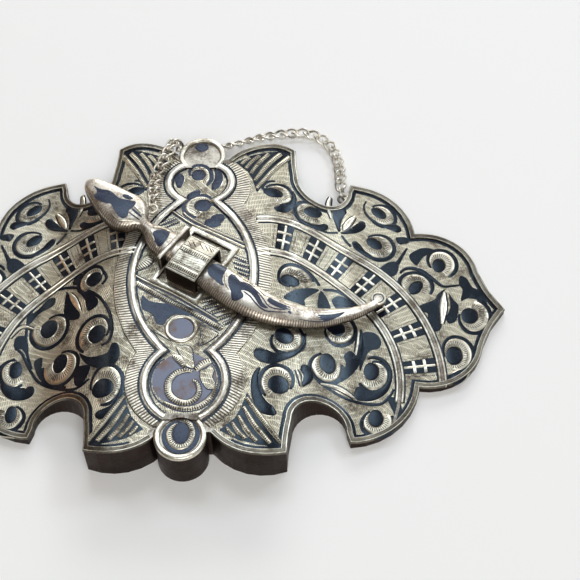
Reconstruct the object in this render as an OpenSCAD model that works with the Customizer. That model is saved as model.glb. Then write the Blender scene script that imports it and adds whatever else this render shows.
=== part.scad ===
// Sash buckle in two scalloped halves, closed by a sabre-shaped pin on a chain.
// The pin runs through a keeper that stands up through a slot in the middle.
// Units are millimetres. X runs along the buckle, Y across it, Z out of its
// face, and the buckle lies on the plane z = 0 with its middle on the origin.

/* [Plates] */
// Distance from the middle of the buckle to a pointed end
half_length = 55; // [53:0.5:57]
// Height of the raised middle of the face
middle_height = 7.5; // [7.2:0.1:7.8]
// Height of the face at the outer lobes
lobe_height = 1.6; // [1.4:0.1:2]
// Height of the face at the pointed ends
tip_height = 1.2; // [1.1:0.1:1.4]
// Thickness of the metal
sheet = 0.9; // [0.7:0.05:1]
// Half width of the level middle, before the face starts to fall
level_half = 12; // [11:0.5:13]
// Distance from the middle at which the face has fallen to the lobes
fall_end = 30; // [29:0.5:33]

/* [Relief] */
// Width of the bead along the rim
rim_width = 0.9; // [0.7:0.1:1.1]
// Height of the bead along the rim
rim_height = 0.3; // [0.2:0.05:0.4]
// Width of the smooth rib round the medallion
rib_width = 1.2; // [1:0.1:1.4]
// Height of the smooth rib
rib_height = 0.45; // [0.3:0.05:0.5]
// Height of the milled band outside the rib
milled_height = 0.2; // [0.1:0.05:0.3]
// Distance of the medallion from the middle of the buckle
medallion_shift = -0.8; // [-1:0.1:0]
// Width of the lines beside the curved bands
line_width = 0.5; // [0.4:0.05:0.7]
// Height of those lines
line_height = 0.25; // [0.15:0.05:0.3]

/* [Keeper] */
// Angle of the keeper, its slot and its frame, seen from the front
keeper_angle = -30; // [-32:1:-28]
// Length of the keeper along the pin
keeper_length = 6.2; // [6:0.1:6.4]
// Width of the keeper across the pin
keeper_width = 8.2; // [8:0.1:8.6]
// Thickness of the keeper's strip
keeper_sheet = 0.55; // [0.5:0.05:0.6]
// Height of the keeper's top at its crown
keeper_top = 11.65; // [11.6:0.05:12]
// Fall of the keeper's top from its crown to its shoulders
keeper_arch = 0.45; // [0.3:0.05:0.5]
// Width of the frame round the slot
frame_width = 1; // [0.8:0.1:1.1]
// Height of the frame above the face
frame_height = 0.6; // [0.4:0.1:0.7]

/* [Chain] */
// Number of links
links = 29; // [29:1:30]
// Length of a link along the middle of its wire
link_length = 3.3; // [3.2:0.05:3.35]
// Width of a link along the middle of its wire
link_width = 1.95; // [1.9:0.05:2]
// Diameter of the wire
link_wire = 0.46; // [0.42:0.02:0.48]
// Twist of a link from its middle to each end
link_twist = 56; // [54:1:58]

/* [Fits] */
// Gap between pieces that touch on the real buckle
gap = 0.12; // [0.1:0.01:0.2]

/* [Hidden] */
$fn = 64;
silver = "lightgray";
old_silver = "darkgray";

// One quarter of the outline, clockwise from where the lobe meets the wing.
// Columns: x, y, and the rise of the arc to the next row, minus for a hollow.
QUARTER = [
  [ 4.2, 29.4,  2.1],   // wing
  [16.8, 32.5, -0.15],  // cusp of the wing, then down into the notch
  [17.4, 26.1, -4.7],   // notch
  [26.8, 26.1,  0],     // up to the outer cusp
  [27.4, 27.9,  3.0],   // first outer lobe
  [39.3, 16.6,  2.9],   // second outer lobe
  [50.6,  8.2, -0.45]   // flare to the pointed end
];
TIP = [half_length, 0];
lobe_r = 4.35;
lobe_y = 30.25;

// Medallion, right side, from its top down. Same columns as above, with x
// counted from its own middle: the milled band outside, the smooth rib inside.
MILLED = [[4.2, 29.2, 2.9], [8.5, 18.8, 5.5], [8.65, -13.9, 3.3], [4.6, -28.4, 0]];
RIB = [[3.4, 28.4, 2.8], [4.0, 19.4, 7.0], [4.9, -13.5, 3.4], [3.3, -27.2, 0]];

// Curved bands: rings about these centres, mirrored on the left half.
band_centre = [12, -16];
band_inner = 24;
band_outer = 31.4;
// Space between a band's lines and the milled band
line_clear = 0.3;
// Depth to which raised work reaches into the sheet below it
bite = 0.3;
// Edge of the left half under the medallion
left_stop = -4.6;

// Slot and frame, in the keeper's own direction u and across it v.
slot_u = [-6.9, 1.1];
slot_v = [-2.2, 9.7];
keeper_u = -2.35;
keeper_v = 2.8;
// Feet of the keeper, turned out under the tongue
foot_sheet = 0.35;
foot_width = 1.6;
// Tongue of the left half, under the medallion, and the end of its thick seat
tongue_x = [-18, 7];
tongue_y = [-6, 12];
tongue_seat = -15.1;
tongue_sheet = 0.8;
tongue_drop = sheet + 2 * gap;
tongue_top = middle_height - tongue_drop;

// Line of the pin, from the tip of its hilt to the tip of its scabbard.
// Columns: x, y, z, width, thickness
PIN = [
  [-21.2, 21.6, 10.2, 1.4, 1.2],  // tip of the hilt
  [-20.2, 20.5, 10.2, 3.6, 2.2],
  [-17.8, 18.2, 10.1, 5.9, 2.9],
  [-15.2, 15.8, 10.0, 7.5, 3.2],
  [-13.1, 14.2,  9.9, 8.1, 3.2],  // widest
  [-11.5, 13.0,  9.8, 6.2, 2.9],
  [-10.4, 12.1,  9.7, 2.9, 2.5],  // neck
  [ -9.4, 11.1,  9.6, 2.6, 2.4],
  [ -8.2, 10.1,  9.5, 4.2, 2.4],
  [ -6.9,  9.0,  9.4, 5.5, 2.5],  // collar
  [ -5.0,  7.4,  9.3, 5.6, 2.4],
  [ -3.2, 5.85, 9.25, 5.2, 2.4],  // into the keeper
  [  2.0, 1.65, 9.25, 5.9, 2.4],  // out of the keeper
  [  7.4, -2.4,  9.1, 6.6, 2.4],
  [ 11.5, -4.8, 8.85, 6.1, 2.3],
  [ 16.2, -5.9, 7.85, 5.2, 2.1],
  [ 21.8, -5.4,  6.0, 4.1, 1.9],
  [ 26.9, -3.7,  4.6, 2.7, 1.6],
  [ 30.5, -1.6,  3.8, 1.9, 1.3],
  [ 32.0, -0.4,  3.6, 1.4, 1.0]
];
pin_sides = 14;
pin_steps = 3;
// Crossguard of the sabre, a bar across the pin just before the keeper
guard_at = [-4.35, 7.2, 9.75];
guard_angle = -34;
guard_size = [0.9, 8.6, 3.2];
// Small disc at the scabbard's tip
end_disc_at = [32.3, 0.3, 3.1];
end_disc_r = 1.4;
end_disc_sheet = 1;

// Middle line of the chain, from the pin's ring to the ring in the notch.
// Columns: x, y, z, and how far its flat side turns from upwards to outwards
ROUTE = [
  [-9.0, 19.3, 9.75, 0], [-9.15, 21.2, 9.25, 0], [-9.2, 23.1, 8.9, 0],
  [-8.8, 25.2, 8.8, 0], [-8.1, 27.4, 8.8, 0], [-7.5, 29.4, 8.85, 0],
  [-7.0, 30.9, 8.85, 12], [-6.5, 32.8, 8.35, 34], [-6.15, 34.3, 7.0, 60],
  [-5.9, 35.1, 5.1, 82], [-5.5, 35.5, 3.55, 90], [-4.7, 35.8, 2.35, 90],
  [-3.5, 36.25, 1.6, 90], [-2.0, 36.8, 1.25, 85], [0.4, 37.5, 1.2, 75],
  [2.9, 38.3, 1.2, 62], [5.6, 39.2, 1.15, 48], [9.7, 40.7, 1.1, 30],
  [14.9, 41.9, 1.0, 10], [19.0, 41.9, 0.95, 0], [22.3, 40.1, 0.95, 0],
  [24.2, 37.4, 0.95, 0], [25.1, 34.2, 1.0, 0], [25.4, 31.0, 1.3, 0],
  [25.51, 28.36, 1.6, 0]
];
link_sides = 12;
wire_sides = 6;

// Small rings, with the middle of each flat eye that they hang in.
// A ring points towards the chain and leans so that the end link crosses it.
ring_r = 1.3;
ring_wire = 0.44;
ring_lean = 66;
eye_r = 0.95;
pin_eye = [-9.0, 15.8, 9.8];
pin_ring_turn = 90;
anchor_eye = [26.0, 24.9, 1.6];
anchor_ring_turn = 98;

bar_x = 22;
bar_r = 0.8;
bar_z = 1.1;
bar_half = 20.85;
socket_gap = 0.06;

// Height of the face at a distance x from the middle
function face(x) =
  let (a = abs(x), u = (a - level_half) / (fall_end - level_half))
  a <= level_half ? middle_height
  : a <= fall_end ? lobe_height + (middle_height - lobe_height) * (1 + cos(180 * u)) / 2
  : lobe_height + (tip_height - lobe_height) * (a - fall_end) / (half_length - fall_end);

// Points of the arc from p to q that rises by s, without q
function arc(p, q, s) =
  let (c = norm(q - p), d = (q - p) / c, n = [-d[1], d[0]])
  abs(s) < 0.01 ? [p]
  : let (r = (c * c / 4 + s * s) / (2 * s), half = 2 * atan(2 * s / c),
         m = max(2, ceil(abs(half) / 6)), mid = (p + q) / 2 + n * (s - r))
    [for (i = [0 : m - 1]) let (t = -half + 2 * half * i / m)
      mid + r * (sin(t) * d + cos(t) * n)];

function xy(row) = [row[0], row[1]];
function flip_x(points) = [for (i = [len(points) - 1 : -1 : 0]) [-points[i][0], points[i][1]]];
function flip_y(points) = [for (i = [len(points) - 1 : -1 : 0]) [points[i][0], -points[i][1]]];
function join(lists) = [for (part = lists) for (p = part) p];

// Points along a table whose rows are x, y and the rise of the next arc
function along(rows) =
  join([for (i = [0 : len(rows) - 2]) arc(xy(rows[i]), xy(rows[i + 1]), rows[i][2])]);

// Outline moved inwards by d, for a ring of points that runs clockwise
function inset(points, d) =
  let (m = len(points))
  [for (i = [0 : m - 1])
    let (p = points[(i + m - 1) % m], q = points[i], s = points[(i + 1) % m],
         a = (q - p) / norm(q - p), b = (s - q) / norm(s - q),
         n = [a[1] + b[1], -a[0] - b[0]])
    q + d * n * 2 / max(n * n, 1)];

right_top = concat(along(concat(QUARTER, [[TIP[0], TIP[1], 0]])), [TIP]);
right_side = concat(right_top, [for (i = [1 : len(right_top) - 1]) flip_y(right_top)[i]]);
left_side = flip_x(flip_y(right_side));
body_outline = concat(right_side, left_side);

function medallion_outline(rows) =
  let (side = concat(along(rows), [xy(rows[len(rows) - 1])]))
  concat(side, flip_x(side));

// Whole face, moved inwards by d, with the round lobes at top and bottom
module whole_shape(d) {
  polygon(inset(body_outline, d));
  lobes(d);
}

module lobes(d) {
  for (side = [-1, 1])
    translate([medallion_shift, side * lobe_y]) circle(r = lobe_r - d);
}

module medallion_shape(rows, d) {
  translate([medallion_shift, 0]) polygon(inset(medallion_outline(rows), d));
}

// Everything below the face raised by lift
module under(lift) {
  fall = [for (i = [0 : 12]) level_half + (fall_end - level_half) * i / 12];
  stations = concat([-half_length - 5], [for (i = [12 : -1 : 0]) -fall[i]],
                    fall, [half_length + 5]);
  rotate([90, 0, 0]) linear_extrude(height = 100, center = true)
    polygon(concat([for (x = stations) [x, face(x) + lift]],
                   [[half_length + 5, -3], [-half_length - 5, -3]]));
}

// A flat shape as a layer that lies on the face, from low to high above it
module on_face(low, high) {
  difference() {
    intersection() {
      linear_extrude(height = middle_height + 3) children();
      under(high);
    }
    under(low);
  }
}

// Sheet metal under a shape, with walls down to the table along the rim
module raised_sheet() {
  difference() {
    intersection() {
      linear_extrude(height = middle_height + 3) children();
      under(0);
    }
    intersection() {
      translate([0, 0, -1]) linear_extrude(height = middle_height + 3) whole_shape(sheet);
      under(-sheet);
    }
  }
}

module rim_shape() {
  difference() {
    whole_shape(0);
    whole_shape(rim_width);
  }
}

module right_shape() {
  medallion_shape(MILLED, 0);
  lobes(0);
  intersection() {
    whole_shape(0);
    translate([0, -50]) square([half_length + 5, 100]);
  }
}

module left_shape() {
  difference() {
    intersection() {
      whole_shape(0);
      translate([-half_length - 5, -50]) square([half_length + 5, 100]);
    }
    medallion_shape(MILLED, -gap);
    lobes(-gap);
    translate([left_stop, -50]) square([5, 100]);
  }
}

// Lines on both sides of a curved band, for the half on the given side
module band_lines(side) {
  for (r = [band_inner, band_outer])
    difference() {
      translate([side * band_centre[0], band_centre[1]])
        difference() {
          circle(r = r + line_width / 2);
          circle(r = r - line_width / 2);
        }
      medallion_shape(MILLED, -line_clear);
      translate([-side * 100, 0]) square([200, 200], center = true);
    }
}

// A rectangle in the keeper's direction, from its corners in u and v
module slot_rect(u, v, grow) {
  rotate(keeper_angle) translate([u[0] - grow, v[0] - grow])
    square([u[1] - u[0] + 2 * grow, v[1] - v[0] + 2 * grow]);
}

module belt_bar(side, extra) {
  translate([side * bar_x, 0, bar_z]) rotate([90, 0, 0])
    cylinder(r = bar_r + extra, h = 2 * (bar_half + extra), center = true);
}

// Round wire bent to a ring
module wire_ring(r, wire) {
  rotate_extrude() translate([r, 0]) circle(d = wire, $fn = 20);
}

module right_plate() {
  color(silver) {
    difference() {
      union() {
        raised_sheet() right_shape();
        on_face(-bite, rim_height) intersection() { rim_shape(); right_shape(); }
        on_face(-bite, milled_height) difference() {
          medallion_shape(MILLED, 0);
          medallion_shape(RIB, 0);
          lobes(rim_width);
        }
        on_face(-bite, rib_height) difference() {
          medallion_shape(RIB, 0);
          medallion_shape(RIB, rib_width);
          lobes(rim_width);
        }
        on_face(-bite, frame_height) slot_rect(slot_u, slot_v, frame_width);
        on_face(-bite, line_height) intersection() {
          band_lines(1);
          whole_shape(rim_width / 2);
        }
      }
      translate([0, 0, middle_height - 3]) linear_extrude(height = 10)
        slot_rect(slot_u, slot_v, 0);
      belt_bar(1, socket_gap);
    }
    translate(anchor_eye) wire_ring(eye_r, ring_wire);
  }
}

// Flat shape of the tongue, from its root to the given x
module tongue_shape(end) {
  translate([tongue_x[0], tongue_y[0]])
    square([end - tongue_x[0], tongue_y[1] - tongue_y[0]]);
}

module left_plate() {
  color(silver)
    difference() {
      union() {
        raised_sheet() left_shape();
        on_face(-bite, rim_height) intersection() { rim_shape(); left_shape(); }
        on_face(-bite, line_height) intersection() {
          band_lines(-1);
          whole_shape(rim_width / 2);
          left_shape();
        }
        on_face(-tongue_drop - tongue_sheet, -tongue_drop) tongue_shape(tongue_x[1]);
        on_face(-tongue_drop - tongue_sheet, bite - sheet) tongue_shape(tongue_seat);
      }
      for (side = [-1, 1]) keeper_foot(side, gap / 2, 3);
      belt_bar(-1, socket_gap);
    }
}

// Space of one foot of the keeper, with some clearance
module keeper_foot(side, clear, height) {
  edge = keeper_width / 2 - keeper_sheet / 2;
  rotate(keeper_angle)
    translate([keeper_u, keeper_v + side * edge, tongue_top - tongue_sheet / 2])
      cube([keeper_length + 2 * clear, keeper_sheet + 2 * clear, height], center = true);
}

// End view of the keeper's outside, smaller by d, standing on the given height
module keeper_section(d, foot) {
  half = keeper_width / 2;
  arch_r = (half * half + keeper_arch * keeper_arch) / (2 * keeper_arch);
  intersection() {
    translate([-half + d, foot]) square([keeper_width - 2 * d, keeper_top]);
    translate([0, keeper_top - arch_r]) circle(r = arch_r - d, $fn = 360);
  }
}

module keeper() {
  foot_low = tongue_top - tongue_sheet - gap - foot_sheet;
  color(silver) {
    rotate(keeper_angle) translate([keeper_u - keeper_length / 2, keeper_v, 0])
      rotate([90, 0, 90]) linear_extrude(height = keeper_length)
        difference() {
          keeper_section(0, foot_low);
          keeper_section(keeper_sheet, foot_low - 1);
        }
    for (side = [-1, 1])
      rotate(keeper_angle)
        translate([keeper_u, keeper_v + side * (keeper_width / 2 - 0.1), foot_low + foot_sheet / 2])
          cube([keeper_length, foot_width, foot_sheet], center = true);
  }
}

// Smooth row between rows b and c of a table, at t from 0 to 1
function between(a, b, c, d, t) =
  (2 * b + t * (c - a) + t * t * (2 * a - 5 * b + 4 * c - d)
   + t * t * t * (3 * b - a - 3 * c + d)) / 2;

function smooth_rows(rows, steps) =
  let (m = len(rows))
  concat([for (i = [0 : m - 2]) for (k = [0 : steps - 1])
            between(rows[max(i - 1, 0)], rows[i], rows[i + 1], rows[min(i + 2, m - 1)], k / steps)],
         [rows[m - 1]]);

function xyz(row) = [row[0], row[1], row[2]];
function unit(v) = v / norm(v);

// Faces of a tube made of rings of n points, closed at both ends
function tube_faces(rings, n) = concat(
  [for (i = [0 : rings - 2]) for (k = [0 : n - 1]) each
    [[i * n + k, i * n + (k + 1) % n, (i + 1) * n + k],
     [i * n + (k + 1) % n, (i + 1) * n + (k + 1) % n, (i + 1) * n + k]]],
  [[for (k = [n - 1 : -1 : 0]) k], [for (k = [0 : n - 1]) (rings - 1) * n + k]]);

// Body of the pin: a half-round bar whose width and thickness follow its table
module pin_body() {
  rows = smooth_rows(PIN, pin_steps);
  m = len(rows);
  points = [for (i = [0 : m - 1])
    let (t = unit(xyz(rows[min(i + 1, m - 1)]) - xyz(rows[max(i - 1, 0)])),
         side = unit(cross(t, [0, 0, 1])), up = cross(side, t))
    for (k = [0 : pin_sides - 1])
      let (a = 360 * k / pin_sides, lift = sin(a) > 0 ? 0.6 : 0.4)
      xyz(rows[i]) + side * cos(a) * rows[i][3] / 2 + up * sin(a) * rows[i][4] * lift];
  polyhedron(points, tube_faces(m, pin_sides), convexity = 6);
}

module sabre_pin() {
  color(silver) {
    pin_body();
    translate(guard_at) rotate(guard_angle) cube(guard_size, center = true);
    translate(end_disc_at) cylinder(r = end_disc_r, h = end_disc_sheet);
    translate(pin_eye) wire_ring(eye_r, ring_wire);
  }
}

// A jump ring that hangs in an eye and points in the direction turn
module hung_ring(eye, turn) {
  translate(eye) rotate(turn) rotate([ring_lean, 0, 0]) translate([ring_r, 0, 0])
    wire_ring(ring_r, ring_wire);
}

module pin_ring() {
  color(old_silver) hung_ring(pin_eye, pin_ring_turn);
}

module anchor_ring() {
  color(old_silver) hung_ring(anchor_eye, anchor_ring_turn);
}

// One curb link: an oval of wire, twisted one way at one end and the other
// way at the other, about the middle m and along the unit vector t
module link(m, t, up) {
  side = cross(up, t);
  function middle(a) =
    let (x = link_length / 2 * cos(a), y = link_width / 2 * sin(a), w = link_twist * cos(a))
    m + t * x + side * (y * cos(w)) + up * (y * sin(w));
  points = [for (i = [0 : link_sides - 1])
    let (a = 360 * i / link_sides, p = middle(a), d = unit(middle(a + 1) - middle(a - 1)),
         out = unit((p - m) - d * ((p - m) * d)), over = cross(d, out))
    for (k = [0 : wire_sides - 1])
      let (b = 360 * k / wire_sides)
      p + link_wire / 2 * (out * cos(b) + over * sin(b))];
  faces = [for (i = [0 : link_sides - 1]) for (k = [0 : wire_sides - 1])
    let (j = (i + 1) % link_sides, l = (k + 1) % wire_sides) each
    [[i * wire_sides + k, j * wire_sides + k, i * wire_sides + l],
     [i * wire_sides + l, j * wire_sides + k, j * wire_sides + l]]];
  polyhedron(points, faces, convexity = 4);
}

module chain() {
  line = smooth_rows(ROUTE, 8);
  lengths = [for (i = [0 : len(line) - 2]) norm(xyz(line[i + 1]) - xyz(line[i]))];
  sums = [for (i = 0, s = 0; i <= len(lengths);
               s = s + (i < len(lengths) ? lengths[i] : 0), i = i + 1) s];
  total = sums[len(sums) - 1];
  color(old_silver)
    for (n = [0 : links - 1]) {
      s = total * n / (links - 1);
      i = max([for (k = [0 : len(sums) - 2]) sums[k] <= s ? k : 0]);
      f = (s - sums[i]) / max(sums[i + 1] - sums[i], 0.001);
      m = line[i] + (line[i + 1] - line[i]) * f;
      t = unit(xyz(line[min(i + 4, len(line) - 1)]) - xyz(line[max(i - 3, 0)]));
      side = unit(cross([0, sin(m[3]), cos(m[3])], t));
      link(xyz(m), t, cross(t, side));
    }
}

module right_belt_bar() {
  color(old_silver) belt_bar(1, 0);
}

module left_belt_bar() {
  color(old_silver) belt_bar(-1, 0);
}

right_plate();
left_plate();
keeper();
sabre_pin();
pin_ring();
chain();
anchor_ring();
right_belt_bar();
left_belt_bar();
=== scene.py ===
from math import atan2, ceil, copysign, cos, degrees, hypot, pi, radians, sin, sqrt
import bmesh
import bpy
from mathutils import Matrix, Vector


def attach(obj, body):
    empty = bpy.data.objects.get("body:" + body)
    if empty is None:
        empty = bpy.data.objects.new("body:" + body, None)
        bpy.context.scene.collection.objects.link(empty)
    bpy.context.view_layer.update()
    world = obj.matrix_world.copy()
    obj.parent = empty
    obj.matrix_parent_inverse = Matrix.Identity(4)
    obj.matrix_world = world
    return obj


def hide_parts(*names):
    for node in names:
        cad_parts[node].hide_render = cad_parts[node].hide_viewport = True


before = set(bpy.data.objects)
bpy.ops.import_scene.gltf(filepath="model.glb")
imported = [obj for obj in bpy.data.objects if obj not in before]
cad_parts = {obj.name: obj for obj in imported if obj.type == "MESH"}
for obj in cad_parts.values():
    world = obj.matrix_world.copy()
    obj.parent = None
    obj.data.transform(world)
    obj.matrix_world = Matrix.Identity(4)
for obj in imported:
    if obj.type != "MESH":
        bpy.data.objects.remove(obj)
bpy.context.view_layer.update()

# Camera: held 26 cm away, looking down from the front and slightly from the right, and
# rolled by two degrees. Its focal length is in pixels of the square photo.
azimuth, elevation, roll = radians(3.07), radians(54.9), radians(-2.01)
focal_length, photo_width = 1403.07, 580
aim, distance = Vector((0.01632, 0.00483, 0)), 0.25719
back = Vector((sin(azimuth) * cos(elevation), -cos(azimuth) * cos(elevation), sin(elevation)))
level = (-back).cross(Vector((0, 0, 1))).normalized()
upward = level.cross(-back)
across_view = level * cos(roll) + upward * sin(roll)
up_view = upward * cos(roll) - level * sin(roll)
camera = bpy.data.objects.new("camera", bpy.data.cameras.new("camera"))
camera.data.sensor_fit = "HORIZONTAL"
camera.data.sensor_width = 36
camera.data.lens = focal_length / photo_width * camera.data.sensor_width
camera.data.clip_start, camera.data.clip_end = 0.01, 10
turn = Matrix((across_view, up_view, back)).transposed()
camera.matrix_world = Matrix.Translation(aim + back * distance) @ turn.to_4x4()
bpy.context.scene.collection.objects.link(camera)
bpy.context.scene.camera = camera

# Table: plain white paper, on which the buckle lies face up. It is the stage, and no
# part of the buckle.
floor_mesh = bmesh.new()
bmesh.ops.create_grid(floor_mesh, x_segments=8, y_segments=8, size=2)
floor = bpy.data.objects.new("floor", bpy.data.meshes.new("floor"))
floor_mesh.to_mesh(floor.data)
floor_mesh.free()
bpy.context.scene.collection.objects.link(floor)

paper = bpy.data.materials.new("paper")
paper.use_nodes = True
paper_shader = paper.node_tree.nodes["Principled BSDF"]
paper_shader.inputs["Base Color"].default_value = (0.92, 0.92, 0.91, 1)
paper_shader.inputs["Roughness"].default_value = 0.9
floor.data.materials.append(paper)


# Light: two cool windows beyond the far edge and a warm one at the left, broad soft light
# from behind and from in front, and a small orange lamp low at the left. The room is pale
# on its right and brown on its left.
def soft_light(name, place, target, size, power, colour):
    lamp = bpy.data.lights.new(name, "AREA")
    lamp.shape, lamp.size, lamp.size_y = "RECTANGLE", size[0], size[1]
    lamp.energy, lamp.color = power, colour
    light = bpy.data.objects.new(name, lamp)
    light.location = place
    light.rotation_euler = (Vector(target) - Vector(place)).to_track_quat("-Z", "Y").to_euler()
    bpy.context.scene.collection.objects.link(light)


def node(tree, kind, values=None, **settings):
    """A shader node, with a number or a link for each input that values names."""
    made = tree.nodes.new("ShaderNode" + kind)
    for key, value in settings.items():
        setattr(made, key, value)
    for key, value in (values or {}).items():
        if isinstance(value, bpy.types.NodeSocket):
            tree.links.new(value, made.inputs[key])
        else:
            made.inputs[key].default_value = value
    return made


def blend(tree, factor, a, b):
    """A colour between two others."""
    return node(tree, "Mix", {"Factor": factor, "A": a, "B": b}, data_type="RGBA").outputs["Result"]


def ranged(tree, value, low, high, start=0.0, stop=1.0, smooth=False):
    """A value from low to high, made a number from start to stop."""
    ends = {"From Min": low, "From Max": high, "To Min": start, "To Max": stop}
    return node(tree, "MapRange", {"Value": value, **ends},
                interpolation_type="SMOOTHSTEP" if smooth else "LINEAR").outputs["Result"]


cool = (0.80, 0.90, 1)
soft_light("window_left", (-0.05, 0.35, 0.60), (-0.002, -0.004, 0.007), (0.25, 0.20), 0.72, cool)
soft_light("window_right", (0.44, 0.40, 0.48), (0.018, -0.012, 0.006), (0.24, 0.16), 0.95, cool)
soft_light("window_side", (-0.45, 0.45, 0.50), (-0.01, 0, 0.006), (0.06, 0.25), 0.14, (1, 0.93, 0.84))
soft_light("back", (0.10, 1.25, 0.55), (0, 0, 0), (0.9, 0.4), 7.5, (1, 0.99, 0.98))
soft_light("front", (0.12, -0.60, 0.86), (0.02, 0, 0), (0.6, 0.5), 5.0, (1, 0.99, 0.975))
soft_light("lamp", (-0.62, 0.30, 0.16), (-0.01, -0.01, 0.005), (0.08, 0.08), 0.10, (1, 0.36, 0.08))
room = bpy.data.worlds.new("room")
room.use_nodes = True
air = room.node_tree
split = node(air, "SeparateXYZ", {"Vector": node(air, "TexCoord").outputs["Generated"]})
room_colour = blend(air, ranged(air, split.outputs["X"], -0.9, 0.5),
                    (0.20, 0.155, 0.115, 1), (0.92, 0.90, 0.86, 1))
air.links.new(room_colour, air.nodes["Background"].inputs["Color"])
air.nodes["Background"].inputs["Strength"].default_value = 0.38
bpy.context.scene.world = room
bpy.context.scene.view_settings.view_transform = "Standard"

# Right half: a dished silver plate with a scalloped outline, soldered to the medallion.
# Its top is engraved by hand, and its walls are painted black, partly as old tarnish and partly as painted
# shade.
level_height, lobe_height, tip_height = 7.5, 1.6, 1.2
level_end, fall_end, tip_x = 12, 30, 55
medallion_x = -0.8
# A quarter of the outline, and the right side of the medallion's milled band and of its
# rib. Columns: x, y, rise of the arc to the next row
QUARTER = [(4.2, 29.4, 2.1), (16.8, 32.5, -0.15), (17.4, 26.1, -4.7), (26.8, 26.1, 0),
           (27.4, 27.9, 3.0), (39.3, 16.6, 2.9), (50.6, 8.2, -0.45), (tip_x, 0, 0)]
MILLED = [(4.2, 29.2, 2.9), (8.5, 18.8, 5.5), (8.65, -13.9, 3.3), (4.6, -28.4, 0)]
RIB = [(3.4, 28.4, 2.8), (4.0, 19.4, 7.0), (4.9, -13.5, 3.4), (3.3, -27.2, 0)]


def on_plate(x, y):
    """Height of the face, which is level in its middle and falls towards its tips."""
    a = abs(x)
    if a <= level_end:
        return level_height
    if a <= fall_end:
        fall = (1 + cos(pi * (a - level_end) / (fall_end - level_end))) / 2
        return lobe_height + (level_height - lobe_height) * fall
    return lobe_height - (lobe_height - tip_height) * (a - fall_end) / (tip_x - fall_end)


def arcs(rows, pieces=0):
    """Points along rows of x, y and the rise of the arc to the next row."""
    points = []
    for (px, py, rise), (qx, qy, _) in zip(rows, rows[1:]):
        p, q = Vector((px, py)), Vector((qx, qy))
        chord = (q - p).length
        d = (q - p) / chord
        n = Vector((-d.y, d.x))
        if abs(rise) < 0.01:
            count = pieces or ceil(chord / 1.5)
            points += [p + (q - p) * i / count for i in range(count)]
            continue
        r = (chord * chord / 4 + rise * rise) / (2 * rise)
        half = 2 * atan2(2 * rise, chord)
        count = pieces or max(2, ceil(abs(degrees(half)) / 2.5))
        middle = (p + q) / 2 + n * (rise - r)
        for i in range(count):
            t = -half + 2 * half * i / count
            points.append(middle + r * (sin(t) * d + cos(t) * n))
    return points + [Vector(rows[-1][:2])]


def inset(points, d):
    """An open line of points moved to its right by d."""
    moved = []
    for i, q in enumerate(points):
        a = (q - points[i - 1]).normalized() if i else (points[1] - q).normalized()
        b = (points[i + 1] - q).normalized() if i < len(points) - 1 else a
        n = Vector((a.y + b.y, -a.x - b.x))
        moved.append(q + d * n * 2 / max(n.dot(n), 1))
    return moved


def flipped(points, x=1, y=1):
    """A line of points mirrored and run backwards, so that inset still moves it inwards."""
    return [Vector((p.x * x, p.y * y)) for p in reversed(points)]


def by_medallion(points):
    """Points counted from the medallion's middle line, as points of the buckle."""
    return [p + Vector((medallion_x, 0)) for p in points]


def rounded(rows, steps, closed=False):
    """A smooth curve through rows of numbers, with steps points from each to the next."""
    rows = [Vector(row) for row in rows]
    chain = [rows[-1]] + rows + rows[:2] if closed else [rows[0]] + rows + [rows[-1]]
    curve = []
    for a, b, c, d in zip(chain, chain[1:], chain[2:], chain[3:]):
        for k in range(steps):
            t = k / steps
            curve.append((2 * b + t * (c - a) + t * t * (2 * a - 5 * b + 4 * c - d)
                          + t ** 3 * (3 * b - a - 3 * c + d)) / 2)
    return curve if closed else curve + [rows[-1]]


def new_sheet():
    bm = bmesh.new()
    bm.loops.layers.uv.new("UVMap")
    return bm


def skin(bm, outline, low=-0.04, high=0.05, on=on_plate, cut=0.5):
    """A thin sheet inside an outline, bent to the surface that it lies on."""
    base = bm.faces.new([bm.verts.new((p[0], p[1], low)) for p in outline])
    if base.normal.z < 0 or base.calc_area() == 0:
        base.normal_flip()
    part = bmesh.ops.triangulate(bm, faces=[base])["faces"]
    for axis in range(1 if on is on_plate else 2):
        at, stop = min(p[axis] for p in outline), max(p[axis] for p in outline)
        at = ceil(at / cut) * cut
        while at < stop:
            if on is not on_plate or level_end <= abs(at) <= fall_end:
                geom = part + list({e for f in part for e in f.edges})
                geom += list({v for f in part for v in f.verts})
                kept = bmesh.ops.bisect_plane(bm, geom=geom, dist=1e-5, plane_no=(1 - axis, axis, 0),
                                              plane_co=(at * (1 - axis), at * axis, 0))
                part = [g for g in kept["geom"] if isinstance(g, bmesh.types.BMFace)]
            at += cut
    raised = bmesh.ops.extrude_face_region(bm, geom=part, use_keep_orig=True)["geom"]
    top = [g for g in raised if isinstance(g, bmesh.types.BMVert)]
    bmesh.ops.translate(bm, vec=(0, 0, high - low), verts=top)
    for v in {v for f in part for v in f.verts} | set(top):
        v.co.z += on(v.co.x, v.co.y)


def finish(bm, name, material, stands_for=(), smooth=40):
    """Closes a mesh made in millimetres, and makes it a piece of the buckle."""
    bmesh.ops.remove_doubles(bm, verts=bm.verts, dist=2e-4)
    bmesh.ops.holes_fill(bm, edges=bm.edges, sides=0)
    bmesh.ops.recalc_face_normals(bm, faces=bm.faces)
    bmesh.ops.scale(bm, vec=(0.001, 0.001, 0.001), verts=bm.verts)
    mesh = bpy.data.meshes.new(name)
    bm.to_mesh(mesh)
    bm.free()
    mesh.shade_smooth()
    mesh.set_sharp_from_angle(angle=radians(smooth))
    mesh.materials.append(material)
    piece = bpy.data.objects.new(name, mesh)
    bpy.context.scene.collection.objects.link(piece)
    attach(piece, "root")
    if stands_for:
        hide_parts(*stands_for)


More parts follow.
